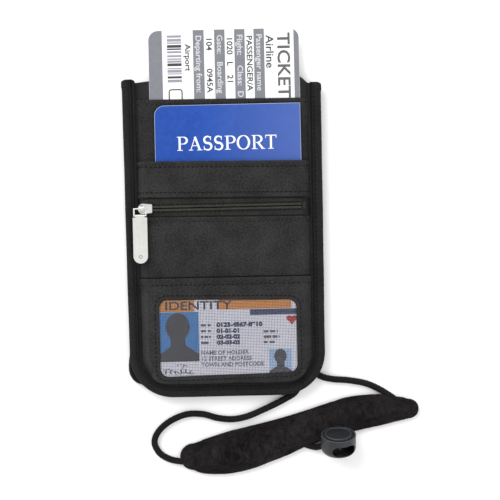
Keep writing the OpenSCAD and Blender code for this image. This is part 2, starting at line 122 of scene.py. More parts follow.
# ---- Surfaces: a shape is its points and a list of face arrays --------------------------
def smoothstep(t):
    """0 below 0 and 1 above 1, with the cubic 3tt - 2ttt between them."""
    t = np.clip(t, 0, 1)
    return t * t * (3 - 2 * t)


def quads(rows, cols, wrap=False):
    """Faces of a grid of points, counted row by row; wrap joins the last column to the first."""
    i = np.arange(rows - 1)[:, None]
    j = np.arange(cols if wrap else cols - 1)[None, :]
    k = (j + 1) % cols
    return np.stack([i * cols + j, i * cols + k, (i + 1) * cols + k, (i + 1) * cols + j],
                    -1).reshape(-1, 4)


def join(shapes):
    """Several shapes as one."""
    points, blocks, start = [], [], 0
    for shape_points, shape_blocks in shapes:
        points.append(shape_points)
        blocks += [b + start for b in shape_blocks]
        start += len(shape_points)
    return np.concatenate(points), blocks


def shell(top, thickness, wrap=False):
    """A closed slab: a grid of points, the same grid lowered by thickness, and walls between."""
    rows, cols = top.shape[:2]
    count = rows * cols
    low = top - np.array([0, 0, 1.0]) * np.reshape(thickness, np.shape(thickness) + (1,) * (
        3 - np.ndim(thickness)))
    faces = quads(rows, cols, wrap)
    index = np.arange(count).reshape(rows, cols)
    if wrap:
        closed = np.concatenate([index, index[:, :1]], axis=1)
        edges = [closed[0], closed[-1][::-1]]
    else:
        edges = [index[0], index[:, -1], index[-1][::-1], index[::-1, 0]]
    walls = [np.stack([e[:-1] + count, e[1:] + count, e[1:], e[:-1]], -1) for e in edges]
    points = np.concatenate([top.reshape(-1, 3), low.reshape(-1, 3)])
    return points, [faces, faces[:, ::-1] + count] + walls


def unit(vectors):
    """Vectors made one long."""
    return vectors / np.linalg.norm(vectors, axis=1)[:, None]


def headings(path):
    """Unit directions along a path."""
    return unit(np.gradient(path, axis=0))


def run_lengths(path):
    """How far along a path each of its points lies."""
    return np.concatenate([[0], np.cumsum(np.linalg.norm(np.diff(path, axis=0), axis=1))])


def look_up(at, gone, points):
    """The places at given distances along a line whose own points lie at the distances gone."""
    return np.stack([np.interp(at, gone, column) for column in points.T], -1)


def at_level(points, z):
    """Flat points with a height added: one for all, or one for each."""
    return np.concatenate([points, np.broadcast_to(z, points.shape[:-1])[..., None]], -1)


def end_fans(rows, cols):
    """Triangles that close a wrapped grid's first and last rows onto the two points after it."""
    j = np.arange(cols)
    k = (j + 1) % cols
    last = (rows - 1) * cols
    return np.concatenate([np.stack([np.full(cols, rows * cols), k, j], -1),
                           np.stack([np.full(cols, rows * cols + 1), last + j, last + k], -1)])


def sweep(path, sections):
    """A closed solid: the section's (left, up) points at each path point, its ends closed by fans."""
    path = np.asarray(path, float)
    ahead = headings(path)
    left = unit(np.cross([0, 0, 1.0], ahead))
    up = np.cross(ahead, left)
    sections = np.broadcast_to(sections, (len(path),) + np.shape(sections)[-2:])
    rings = (path[:, None] + sections[..., :1] * left[:, None] + sections[..., 1:] * up[:, None])
    rows, cols = rings.shape[:2]
    points = np.concatenate([rings.reshape(-1, 3), rings[0].mean(0)[None], rings[-1].mean(0)[None]])
    return points, [quads(rows, cols, wrap=True), end_fans(rows, cols)]


def sweep_uv(along, around):
    """A sweep's UV map: the distance along it and round it, with its two end points last."""
    uv = np.stack(np.broadcast_arrays(along[:, None], around), -1).reshape(-1, 2)
    return np.concatenate([uv, [[0, 0], [along[-1], 0]]])


def circle(radius, sides):
    """Points of a circle."""
    a = np.arange(sides) / sides * TAU
    return np.stack([np.cos(a), np.sin(a)], -1) * radius


def resample(path, step):
    """Points every step along a path, and its whole length."""
    path = np.asarray(path, float)
    gone = run_lengths(path)
    count = max(2, int(round(gone[-1] / step)) + 1)
    return look_up(np.linspace(0, gone[-1], count), gone, path), gone[-1]


def smooth_line(points, step):
    """A line through every point, each stretch a cubic.

    Its slope at a point is half the step between that point's neighbours.
    """
    p = np.asarray(points, float)
    p = np.concatenate([[2 * p[0] - p[1]], p, [2 * p[-1] - p[-2]]])
    t = np.linspace(0, 1, 16, endpoint=False)[:, None]
    pieces = []
    for a, b, c, d in zip(p[:-3], p[1:-2], p[2:-1], p[3:]):
        pieces.append(0.5 * (2 * b + (c - a) * t + (2 * a - 5 * b + 4 * c - d) * t ** 2
                             + (3 * b - a - 3 * c + d) * t ** 3))
    return resample(np.concatenate(pieces + [p[-2:-1]]), step)[0]


def slab_box(x0, y0, x1, y1, z, thickness=0.03):
    """A thin flat box whose top is at z."""
    x, y = np.meshgrid([x0, x1], [y0, y1])
    return shell(np.stack([x, y, np.full_like(x, z, dtype=float)], -1), thickness)


def ribbon(points, width, z, thickness=0.03):
    """A flat stroke of a given width along a line, its top at z."""
    p = np.asarray(points, float)
    d = headings(p)
    side = np.stack([-d[:, 1], d[:, 0]], -1) * (np.broadcast_to(width, len(p)) / 2)[:, None]
    grid = np.stack([p + side, p - side], 1)[:, ::-1]
    return shell(at_level(np.swapaxes(grid, 0, 1), z), thickness)


def disc(centre, radii, z, thickness=0.03, sides=36):
    """A flat round patch, its top at z."""
    a = np.linspace(0, TAU, sides)
    rim = np.stack([centre[0] + radii[0] * np.cos(a), centre[1] + radii[1] * np.sin(a)], -1)
    mid = np.broadcast_to(centre, rim.shape)
    grid = np.stack([rim, mid * 0.98 + rim * 0.02], 0)
    return shell(at_level(grid, z), thickness)


def beads(origin, along, length, radius, height=None, sides=8, rings=6):
    """Rounded stitches: at each origin, a closed bead of that length pointing along.

    Its radius falls off from the middle as the root of 1 - t to the fourth.
    """
    origin, along = np.atleast_2d(origin), np.atleast_2d(along)
    t = np.linspace(-1, 1, rings + 2)[1:-1]
    a = np.arange(sides) / sides * TAU
    r = np.sqrt(1 - t ** 4)
    local = np.stack(np.broadcast_arrays(t[:, None], r[:, None] * np.cos(a),
                                         r[:, None] * np.sin(a)), -1).reshape(-1, 3)
    local = np.concatenate([local, [[-1, 0, 0], [1, 0, 0]]])
    local = local * [length / 2, radius, height or radius]
    along = unit(along)
    side = unit(np.cross([0, 0, 1.0], along))
    up = np.cross(along, side)
    points = (origin[:, None] + local[None, :, :1] * along[:, None]
              + local[None, :, 1:2] * side[:, None] + local[None, :, 2:] * up[:, None])
    body, tips = quads(rings, sides, wrap=True), end_fans(rings, sides)
    starts = (np.arange(len(origin)) * len(local))[:, None, None]
    return points.reshape(-1, 3), [(body[None] + starts).reshape(-1, 4),
                                   (tips[None] + starts).reshape(-1, 3)]


def sewn_row(path, settings, lift=0.1):
    """A row of machine stitches along a path."""
    pitch = settings.stitch_pitch / MM
    line, _ = resample(path, pitch)
    middle = (line[:-1] + line[1:]) / 2 + [0, 0, lift]
    return beads(middle, np.diff(line, axis=0), pitch * 0.72, 0.3, 0.2)


# ---- The pouch's outline and the height of its layers -----------------------------------
def half_width(y, inset):
    """Half the pouch's width at y, inset from its edge: straight sides above the round corners."""
    y = np.asarray(y, float)
    straight = BOTTOM_HW + (TOP_HW - BOTTOM_HW) * (y - CORNER_Y) / (HALF_H - CORNER_Y) - inset
    below = np.clip((CORNER_R - inset) ** 2 - (y - CORNER_Y) ** 2, 0, None)
    return np.where(y > CORNER_Y, straight, CORNER_X + np.sqrt(below))


def edge_distance(x, y):
    """How far in from the pouch's sides and bottom a point is."""
    x = np.abs(x)
    side = BOTTOM_HW + (TOP_HW - BOTTOM_HW) * (y - CORNER_Y) / (HALF_H - CORNER_Y) - x
    corner = CORNER_R - np.hypot(x - CORNER_X, y - CORNER_Y)
    return np.where((y < CORNER_Y) & (x > CORNER_X), corner, np.minimum(side, y + HALF_H))


def edge_line(inset, step=1.0):
    """The outline, inset, from the top left down round the bottom to the top right."""
    r = CORNER_R - inset
    a = np.linspace(math.pi, 1.5 * math.pi, 40)
    left = np.stack([-CORNER_X + r * np.cos(a), CORNER_Y + r * np.sin(a)], -1)
    right = left[::-1] * [-1, 1]
    top = TOP_HW - inset
    line = np.concatenate([[[-top, HALF_H + FOLD_UP[0]]], left, right,
                           [[top, HALF_H + FOLD_UP[1]]]])
    return resample(line, step)[0]


def rise(x, y, width=RISE):
    """0 at the binding's inner edge and 1 from width further in."""
    return smoothstep((edge_distance(x, y) - BINDING_W) / width)


def soft_waves(x, y):
    """Shallow unevenness of cloth: three crossed sine waves."""
    return (0.45 * np.sin(x / 11 + 0.8 * np.sin(y / 15)) * np.sin(y / 9 + 0.6)
            + 0.3 * np.sin((x + 1.7 * y) / 14 + 1.1) + 0.25 * np.sin((x - 1.3 * y) / 8 + 2.4))


def bump(x, y, cx, cy, sx, sy, turn=0.0):
    """A soft hump: a bell curve sx by sy wide, turned."""
    c, s = math.cos(turn), math.sin(turn)
    u, v = (x - cx) * c + (y - cy) * s, -(x - cx) * s + (y - cy) * c
    return np.exp(-(u / sx) ** 2 - (v / sy) ** 2)


def slip_height(x, y):
    """Top of the slip pocket's panel."""
    return 6.0 + 0.9 * rise(x, y, 4.0)


def front_height(x, y):
    """Top of the front panels: sewn low at the edge, raised over the contents, with soft pulls.

    Over the sliding card the relief is held down smoothly, so that the card stays clear of it.
    """
    up = rise(x, y)
    relief = 0.2 * soft_waves(x, y)
    relief = relief + 1.5 * bump(x, y, 27, -14.5, 13, 3.6, 0.12) + 0.8 * bump(x, y, -6, -15.5, 15, 3.4)
    relief = relief + 0.7 * bump(x, y, 44, -13, 6, 4) - 0.5 * bump(x, y, 12, -6, 26, 4.5, -0.06)
    relief = relief + 0.6 * bump(x, y, 4, 6, 34, 4.0) - 0.25 * bump(x, y, -30, -4, 8, 9)
    relief = relief + (0.5 * bump(x, y, 22, 37, 20, 4) + 0.4 * bump(x, y, -26, 35, 14, 5)) * (y > 20)
    over_card = -np.log(np.exp(-3 * relief) + math.exp(-3 * CARD_ROOM)) / 3
    relief = np.where(y < MOUTHS["lower"][0] + 2, over_card, relief)
    return 7.3 + 3.9 * up + relief * up


def card_height(x, y):
    """Top of the card pocket: raised over the card's own rounded rectangle as well."""
    ox = np.maximum(np.abs(x - CARD_MID[0]) - CARD_HALF[0], 0)
    oy = np.maximum(np.abs(y - CARD_MID[1]) - CARD_HALF[1], 0)
    over = smoothstep(1.15 - np.hypot(ox, oy) / 4)
    return 7.9 + 5.2 * np.maximum(rise(x, y), over * smoothstep(
        (edge_distance(x, y) - BINDING_W + 2) / 3.2)) + 0.05 * soft_waves(x, y)


def mouth(name, x):
    """The height of a pocket's edge at x."""
    middle, fall = MOUTHS[name]
    return middle - fall * np.asarray(x, float)


def panel_grid(low, high, height, inset=SEAM_INSET, cols=140, step=1.2, top=None, bottom=None):
    """A grid over the pouch from y = low to high, its sides on the outline.

    top and bottom give the shape of its ends as functions of x, blended in over EDGE_BLEND.
    """
    low_y = max(low, -HALF_H + inset)
    ys = []
    if low_y < CORNER_Y:
        r = CORNER_R - inset
        start = math.acos(min(1, (CORNER_Y - low_y) / r))
        ys.append(CORNER_Y - r * np.cos(np.linspace(start, math.pi / 2, 24, endpoint=False)))
        low_y = CORNER_Y
    ys.append(np.linspace(low_y, high, max(3, int((high - low_y) / step))))
    y = np.concatenate(ys)[:, None]
    x = np.linspace(-1, 1, cols)[None] * half_width(y, inset)
    y = np.broadcast_to(y, x.shape)
    moved = y + 0.0
    if top is not None:
        moved = moved + (top(x) - high) * smoothstep((y - high + EDGE_BLEND) / EDGE_BLEND)
    if bottom is not None:
        moved = moved + (bottom(x) - low) * smoothstep((low + EDGE_BLEND - y) / EDGE_BLEND)
    return np.stack([x, moved, height(x, moved)], -1)


# ---- Making Blender objects --------------------------------------------------------------
def add_mesh(name, shape, body, material, uv=None, sharp=40, replaces=()):
    """A mesh piece from a shape in millimetres, riding on its body, with a UV map in metres."""
    points, blocks = shape
    mesh = bpy.data.meshes.new(name)
    co = ((points + SHIFT) * MM).astype(np.float32)
    loops = np.concatenate([b.ravel() for b in blocks]).astype(np.int32)
    sizes = np.concatenate([np.full(len(b), b.shape[1]) for b in blocks])
    mesh.vertices.add(len(co))
    mesh.vertices.foreach_set("co", co.ravel())
    mesh.loops.add(len(loops))
    mesh.loops.foreach_set("vertex_index", loops)
    mesh.polygons.add(len(sizes))
    mesh.polygons.foreach_set("loop_start", np.concatenate([[0], np.cumsum(sizes)[:-1]]).astype(
        np.int32))
    mesh.update(calc_edges=True)
    layer = mesh.uv_layers.new(name="cloth")
    flat = (points[:, :2] if uv is None else uv) * MM
    layer.data.foreach_set("uv", flat[loops].astype(np.float32).ravel())
    mesh.validate()
    mesh.polygons.foreach_set("use_smooth", np.ones(len(mesh.polygons), bool))
    mesh.set_sharp_from_angle(angle=math.radians(sharp))
    obj = bpy.data.objects.new(name, mesh)
    bpy.context.scene.collection.objects.link(obj)
    mesh.materials.append(material)
    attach(obj, body)
    if replaces:
        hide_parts(*replaces)
    return obj


def dress(node, slot_name, material, bevel=0.0):
    """Gives a CAD node its material and, if asked, slightly rounded edges."""
    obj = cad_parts[node]
    obj.data.materials.clear()
    obj.data.materials.append(material)
    if bevel:
        edge = obj.modifiers.new("soft_edges", "BEVEL")
        edge.width = bevel * MM
        edge.segments = 3
        edge.limit_method = "ANGLE"
        edge.angle_limit = math.radians(50)
        edge.harden_normals = True
    return obj


# ---- Materials ---------------------------------------------------------------------------
def node(tree, kind, settings=None, **values):
    """Adds a node; a value is a number, a colour or a socket to join. Names use _ for spaces."""
    made = tree.nodes.new(kind)
    for key, value in (settings or {}).items():
        setattr(made, key, value)
    for key, value in values.items():
        socket = made.inputs[int(key[1:])] if key[0] == "_" else made.inputs[key.replace("_", " ")]
        if isinstance(value, bpy.types.NodeSocket):
            tree.links.new(value, socket)
        else:
            socket.default_value = value
    return made


def math_node(tree, operation, a, b=0.0):
    """One step of arithmetic in a node tree."""
    return node(tree, "ShaderNodeMath", {"operation": operation}, _0=a, _1=b).outputs[0]


def weighted_sum(tree, a, part_a, b, part_b):
    """Two values added, each taken in part."""
    return math_node(tree, "ADD", math_node(tree, "MULTIPLY", a, part_a),
                     math_node(tree, "MULTIPLY", b, part_b))


def new_group(name, **inputs):
    """An empty node group: a place in metres and numbers go in, a height and a tone come out."""
    tree = bpy.data.node_groups.new(name, "ShaderNodeTree")
    tree.interface.new_socket("Place", in_out="INPUT", socket_type="NodeSocketVector")
    for label, default in inputs.items():
        tree.interface.new_socket(label, in_out="INPUT",
                                  socket_type="NodeSocketFloat").default_value = default
    for label in ("Height", "Tone"):
        tree.interface.new_socket(label, in_out="OUTPUT", socket_type="NodeSocketFloat")
    return tree, tree.nodes.new("NodeGroupInput"), tree.nodes.new("NodeGroupOutput")


def finished_group(tree, outs, height, tone):
    """The group with its two results joined up."""
    tree.links.new(height, outs.inputs["Height"])
    tree.links.new(tone, outs.inputs["Tone"])
    return tree


def noise(tree, ins, **values):
    """Soft noise over the group's place."""
    return node(tree, "ShaderNodeTexNoise", Vector=ins.outputs["Place"], **values).outputs["Fac"]


def weave_group():
    """Plain weave: the product of two sine waves, across and along, with loose threads over it."""
    tree, ins, outs = new_group("Plain Weave", Pitch=0.0006, Ribs=0.0)
    turns = math_node(tree, "DIVIDE", TAU, ins.outputs["Pitch"])
    split = node(tree, "ShaderNodeSeparateXYZ", Vector=ins.outputs["Place"])
    across, along = [math_node(tree, "SINE", math_node(tree, "MULTIPLY", split.outputs[axis], turns))
                     for axis in "XY"]
    cross = math_node(tree, "MULTIPLY", across, along)
    woven = node(tree, "ShaderNodeMix", {"data_type": "FLOAT"}, _0=ins.outputs["Ribs"], _2=cross,
                 _3=across).outputs[0]
    slubs = noise(tree, ins, Scale=900.0, Detail=4.0, Roughness=0.7)
    clouds = noise(tree, ins, Scale=60.0, Detail=5.0, Roughness=0.6)
    height = math_node(tree, "ADD", math_node(tree, "MULTIPLY", woven, 0.5), slubs)
    return finished_group(tree, outs, height, weighted_sum(tree, clouds, 0.35, slubs, 0.65))


def fleece_group():
    """Brushed pile: tufts from stretched noise, with finer fibres over them."""
    tree, ins, outs = new_group("Brushed Pile")
    bent = noise(tree, ins, Scale=320.0, Detail=6.0, Roughness=0.75, Distortion=1.2)
    fine = noise(tree, ins, Scale=2200.0, Detail=3.0)
    broad = noise(tree, ins, Scale=45.0, Detail=4.0)
    height = math_node(tree, "ADD", bent, math_node(tree, "MULTIPLY", fine, 0.5))
    return finished_group(tree, outs, height, weighted_sum(tree, bent, 0.6, broad, 0.4))


def grain_group():
    """Fine grain for paper, film and moulded plastic, with a broad and a middling mottle as tone."""
    tree, ins, outs = new_group("Fine Grain", Scale=1500.0)
    fine = noise(tree, ins, Scale=ins.outputs["Scale"], Detail=4.0)
    broad = noise(tree, ins, Scale=35.0, Detail=6.0, Roughness=0.65)
    mottle = noise(tree, ins, Scale=420.0, Detail=3.0)
    return finished_group(tree, outs, fine, weighted_sum(tree, broad, 0.5, mottle, 0.5))


GROUPS = {}
MADE = {}


def grouped(tree, label, place, **values):
    """A use of one of the shared groups."""
    makers = {"weave": weave_group, "fleece": fleece_group, "grain": grain_group}
    if label not in GROUPS:
        GROUPS[label] = makers[label]()
    return node(tree, "ShaderNodeGroup", {"node_tree": GROUPS[label]}, Place=place, **values)


def material(name, group, dark, light, rough, bump_height, coat=0.0, metal=0.0, specular=0.5,
             sheen=0.0, sheen_tint=(1, 1, 1, 1), spread=(0.35, 0.65), alpha=1.0, own_uv=True,
             **values):
    """A principled finish whose colour, roughness and small relief follow a shared group."""
    if name in MADE:
        return MADE[name]
    made = bpy.data.materials.new(name)
    made.use_nodes = True
    tree = made.node_tree
    tree.nodes.clear()
    place = node(tree, "ShaderNodeTexCoord").outputs["UV" if own_uv else "Object"]
    pattern = grouped(tree, group, place, **values)
    ramp = node(tree, "ShaderNodeValToRGB", Fac=pattern.outputs["Tone"])
    ramp.color_ramp.elements[0].position, ramp.color_ramp.elements[1].position = spread
    ramp.color_ramp.elements[0].color = tuple(dark) + (1,)
    ramp.color_ramp.elements[1].color = tuple(light) + (1,)
    roughness = node(tree, "ShaderNodeMapRange", Value=pattern.outputs["Tone"], To_Min=rough[0],
                     To_Max=rough[1])
    relief = node(tree, "ShaderNodeBump", Height=pattern.outputs["Height"],
                  Distance=bump_height * MM)
    finish = node(tree, "ShaderNodeBsdfPrincipled", Base_Color=ramp.outputs["Color"],
                  Roughness=roughness.outputs["Result"], Normal=relief.outputs["Normal"],
                  Metallic=metal, Alpha=alpha)
    finish.inputs["Specular IOR Level"].default_value = specular
    finish.inputs["Sheen Weight"].default_value = sheen
    finish.inputs["Sheen Tint"].default_value = sheen_tint
    finish.inputs["Coat Weight"].default_value = coat
    out = node(tree, "ShaderNodeOutputMaterial", Surface=finish.outputs["BSDF"])
    out.is_active_output = True
    made.diffuse_color = tuple(light) + (1,)
    MADE[name] = made
    return made


def shell_fabric():
    return material("charcoal_nylon", "weave", (0.0075, 0.0074, 0.0074), (0.0345, 0.0342, 0.0340),
                    (0.7, 0.9), 0.24, specular=0.2, sheen=0.05, spread=(0.40, 0.60), Pitch=0.0007)


def lining_fabric():
    return material("lining_nylon", "weave", (0.010, 0.010, 0.011), (0.018, 0.018, 0.020),
                    (0.7, 0.85), 0.08, specular=0.25, Pitch=0.0005)


def binding_fabric():
    return material("ribbed_binding", "weave", (0.0050, 0.0049, 0.0047), (0.0150, 0.0147, 0.0142),
                    (0.65, 0.85), 0.25, specular=0.18, spread=(0.40, 0.60), Pitch=0.0011, Ribs=0.85)


def zip_fabric():
    return material("twill_zip_tape", "weave", (0.006, 0.006, 0.006), (0.026, 0.026, 0.024),
                    (0.7, 0.85), 0.18, specular=0.2, spread=(0.40, 0.60), Pitch=0.0008, Ribs=0.5)


def coil_nylon():
    return material("nylon_coil", "grain", (0.030, 0.029, 0.025), (0.095, 0.090, 0.075),
                    (0.28, 0.42), 0.02, specular=0.6, Scale=2500.0)


def black_lacquer():
    return material("black_lacquer", "grain", (0.003, 0.003, 0.003), (0.010, 0.010, 0.010),
                    (0.4, 0.55), 0.02, specular=0.3, Scale=2500.0, own_uv=False)


# The black stitching colour, also used for the painted shade strips in the pocket mouths.
def thread_and_shade():
    return material("thread_and_painted_shade", "grain", (0.002, 0.002, 0.002), (0.009, 0.009, 0.009),
                    (0.6, 0.8), 0.05, specular=0.12, Scale=3500.0)


def cord_fabric():
    return material("braided_cord", "weave", (0.0025, 0.0025, 0.0025), (0.0095, 0.0095, 0.0090),
                    (0.65, 0.85), 0.25, specular=0.16, Pitch=0.0010)


def fleece():
    return material("brushed_fleece", "fleece", (0.0028, 0.0024, 0.0026), (0.0300, 0.0255, 0.0260),
                    (0.85, 1.0), 1.1, specular=0.08, sheen=0.07,
                    sheen_tint=(0.75, 0.62, 0.66, 1), spread=(0.42, 0.64))


def foam():
    return material("pad_foam", "grain", (0.03, 0.03, 0.032), (0.05, 0.05, 0.052),
                    (0.85, 0.95), 0.2, specular=0.2, Scale=800.0, own_uv=False)


def chrome():
    return material("slider_metal", "grain", (0.66, 0.66, 0.65), (0.84, 0.84, 0.82),
                    (0.22, 0.34), 0.01, metal=1.0, Scale=3000.0, own_uv=False)


def satin_metal():
    return material("satin_pull", "grain", (0.61, 0.61, 0.58), (0.70, 0.70, 0.67),
                    (0.34, 0.46), 0.01, metal=0.85, Scale=2500.0, own_uv=False)


def lock_plastic():
    return material("moulded_lock", "grain", (0.013, 0.0145, 0.017), (0.025, 0.027, 0.031),
                    (0.34, 0.5), 0.03, specular=0.4, Scale=2200.0, own_uv=False)


def button_plastic():
    return material("moulded_button", "grain", (0.010, 0.011, 0.013), (0.022, 0.024, 0.028),
                    (0.3, 0.45), 0.03, specular=0.4, Scale=2200.0, own_uv=False)


# A paler copy of the lock plastic, painted on the lock's rims as their highlight.
def painted_highlight_plastic():
    return material("painted_highlight_plastic", "grain", (0.070, 0.073, 0.078), (0.130, 0.135, 0.142),
                    (0.3, 0.45), 0.03, specular=0.4, Scale=2200.0, own_uv=False)


def steel():
    return material("spring_steel", "grain", (0.35, 0.35, 0.36), (0.5, 0.5, 0.51),
                    (0.25, 0.4), 0.01, metal=1.0, own_uv=False)


def cover_blue():
    """Grained booklet cover, paler and greyer towards its right side."""
    if "blue_cover" in MADE:
        return MADE["blue_cover"]
    made = material("blue_cover", "grain", (0.0085, 0.052, 0.285), (0.0135, 0.070, 0.365),
                    (0.4, 0.55), 0.05, specular=0.22, Scale=1800.0, own_uv=False)
    tree = made.node_tree
    finish = next(n for n in tree.nodes if n.type == "BSDF_PRINCIPLED")
    plain = finish.inputs["Base Color"].links[0].from_socket
    place = node(tree, "ShaderNodeTexCoord").outputs["Object"]
    across = node(tree, "ShaderNodeSeparateXYZ", Vector=place).outputs["X"]
    # The colour is mixed towards a paler, greyer blue from left to right across the cover.
    paled = node(tree, "ShaderNodeMapRange", Value=across, From_Min=-0.04, From_Max=0.022,
                To_Min=0.0, To_Max=0.55)
    mixed = node(tree, "ShaderNodeMix", {"data_type": "RGBA"}, _0=paled.outputs["Result"],
                 _6=plain, _7=(0.100, 0.155, 0.40, 1))
    tree.links.new(mixed.outputs[2], finish.inputs["Base Color"])
    return made


def paper(name="white_paper", shade=0.80):
    return material(name, "grain", (shade * 0.96, shade * 0.96, shade * 0.95),
                    (shade, shade, shade), (0.55, 0.7), 0.02, specular=0.3, Scale=2000.0,
                    own_uv=False)


def card_white():
    return material("card_face", "grain", (0.66, 0.66, 0.76), (0.74, 0.74, 0.84),
                    (0.3, 0.4), 0.005, coat=0.05, specular=0.2, Scale=1200.0, own_uv=False)


# Flat colour with a faint grain: print, the pale passport edge and the painted shade ring on the pull
# tab.
def flat_colour(name, colour, rough=0.45):
    low = tuple(c * 0.86 for c in colour)
    return material(name, "grain", low, colour, (rough, rough + 0.1), 0.004, specular=0.35,
                    Scale=2000.0, own_uv=False)


# ---- Settings ----------------------------------------------------------------------------
class PouchSettings(bpy.types.PropertyGroup):
    stitch_pitch: FloatProperty(name="Stitch Pitch", description="Length of one stitch and its gap",
                                default=0.0028, min=0.0015, max=0.006, precision=4,
                                unit="LENGTH", subtype="DISTANCE")
    panel_columns: IntProperty(name="Panel Columns", description="Points across one cloth panel",
                               default=160, min=40, max=300)


class PrintSettings(bpy.types.PropertyGroup):
    seed: IntProperty(name="Print Seed", description="Start of the random order of the printed bars",
                      default=7, min=0)
    word_height: FloatProperty(name="Title Height", description="Height of the booklet's title",
                               default=0.0084, min=0.004, max=0.012, precision=4,
                               unit="LENGTH", subtype="DISTANCE")


class CordSettings(bpy.types.PropertyGroup):
    diameter: FloatProperty(name="Cord Diameter", description="Thickness of the cord",
                            default=0.004, min=0.002, max=0.005, precision=4,
                            unit="LENGTH", subtype="DISTANCE")
    braid_pitch: FloatProperty(name="Braid Pitch", description="Length of one turn of the braid",
                               default=0.0052, min=0.002, max=0.012, precision=4,
                               unit="LENGTH", subtype="DISTANCE")


class PadSettings(bpy.types.PropertyGroup):
    pressure: FloatProperty(name="Padding Pressure",
                            description="Pressure that fills the pad while it settles",
                            default=4.0, min=0.0, max=10.0)
    fibres: IntProperty(name="Fibres", description="Loose fibres standing out of the fleece",
                        default=9000, min=0, max=40000)


class StageSettings(bpy.types.PropertyGroup):
    lens: FloatProperty(name="Lens", description="Focal length", default=100.0, min=35.0,
                        max=200.0, unit="CAMERA")
    view_width: FloatProperty(name="View Width", description="Width that the camera takes in",
                              default=0.30125, unit="LENGTH", subtype="DISTANCE")


# ---- Operators ---------------------------------------------------------------------------
class PieceOperator:
    bl_options = {"REGISTER", "UNDO"}


class STAGE_OT_build(PieceOperator, bpy.types.Operator):
    """Adds the floor, the soft light and the camera straight above"""
    bl_idname = "neck_pouch.stage"
    bl_label = "Floor, Light and Camera"

    def execute(self, context):
        scene = context.scene
        settings = scene.neck_stage
        middle_x, middle_y, level, turn = -0.0123, 0.0006, 0.008, math.radians(-1.33)
        bpy.ops.mesh.primitive_plane_add(size=6, location=(0, 0, 0))
        floor = context.object
        floor.name = "floor"
        made = bpy.data.materials.new("floor_paper")
        made.use_nodes = True
        finish = made.node_tree.nodes["Principled BSDF"]
        finish.inputs["Base Color"].default_value = (0.96, 0.96, 0.96, 1)
        finish.inputs["Roughness"].default_value = 0.8
        finish.inputs["Specular IOR Level"].default_value = 0.1
        floor.data.materials.append(made)
        camera = bpy.data.cameras.new("camera")
        camera.lens = settings.lens
        camera.sensor_width = 36
        camera.clip_start = 0.05
        camera.clip_end = 20
        seen = bpy.data.objects.new("camera", camera)
        away = settings.view_width * settings.lens / camera.sensor_width
        seen.location = (middle_x, middle_y, level + away)
        seen.rotation_euler = (0, 0, turn)
        scene.collection.objects.link(seen)
        scene.camera = seen
        for name, place, size, power in (("key_light", (-0.9, 1.1, 1.1), 1.3, 24.0),
                                         ("fill_light", (0.9, -0.5, 1.4), 1.6, 9.0)):
            light = bpy.data.lights.new(name, "AREA")
            light.energy, light.size = power, size
            lamp = bpy.data.objects.new(name, light)
            lamp.location = place
            aim = -np.array(place) / np.linalg.norm(place)
            lamp.rotation_euler = (math.acos(-aim[2]), 0,
                                   math.atan2(place[0], -place[1]))
            scene.collection.objects.link(lamp)
        world = bpy.data.worlds.new("soft_sky")
        world.use_nodes = True
        sky = world.node_tree.nodes["Background"]
        sky.inputs["Color"].default_value = (1, 1, 1, 1)
        sky.inputs["Strength"].default_value = 0.84
        scene.world = world
        scene.view_settings.view_transform = "Standard"
        return {"FINISHED"}


class CORDS_OT_build(PieceOperator, bpy.types.Operator):
    """Adds the two neck cords and the short tail in the lock"""
    bl_idname = "neck_pouch.cords"
    bl_label = "Cords"

    def execute(self, context):
        settings = context.scene.neck_cords
        radius = settings.diameter / MM / 2
        for name, route in (("cord_left", LEFT_ROUTE), ("cord_right", RIGHT_ROUTE),
                            ("cord_tail", TAIL_ROUTE)):
            path = smooth_line(route, 0.55)
            _, length = resample(path, 1.0)
            sides = 24
            a = np.arange(sides) / sides * TAU
            along = np.linspace(0, length, len(path))
            turn = along[:, None] / (settings.braid_pitch / MM) * TAU
            relief = 0.09 * np.sin(6 * a + turn) * np.sin(6 * a - turn)
            r = radius - 0.09 + relief
            section = np.stack([r * np.cos(a), r * np.sin(a)], -1)
            cord = add_mesh(name + "_braid", sweep(path, section), "pouch",
                            cord_fabric(), sweep_uv(along, a * radius), sharp=80,
                            replaces=(name,))
        return {"FINISHED"}


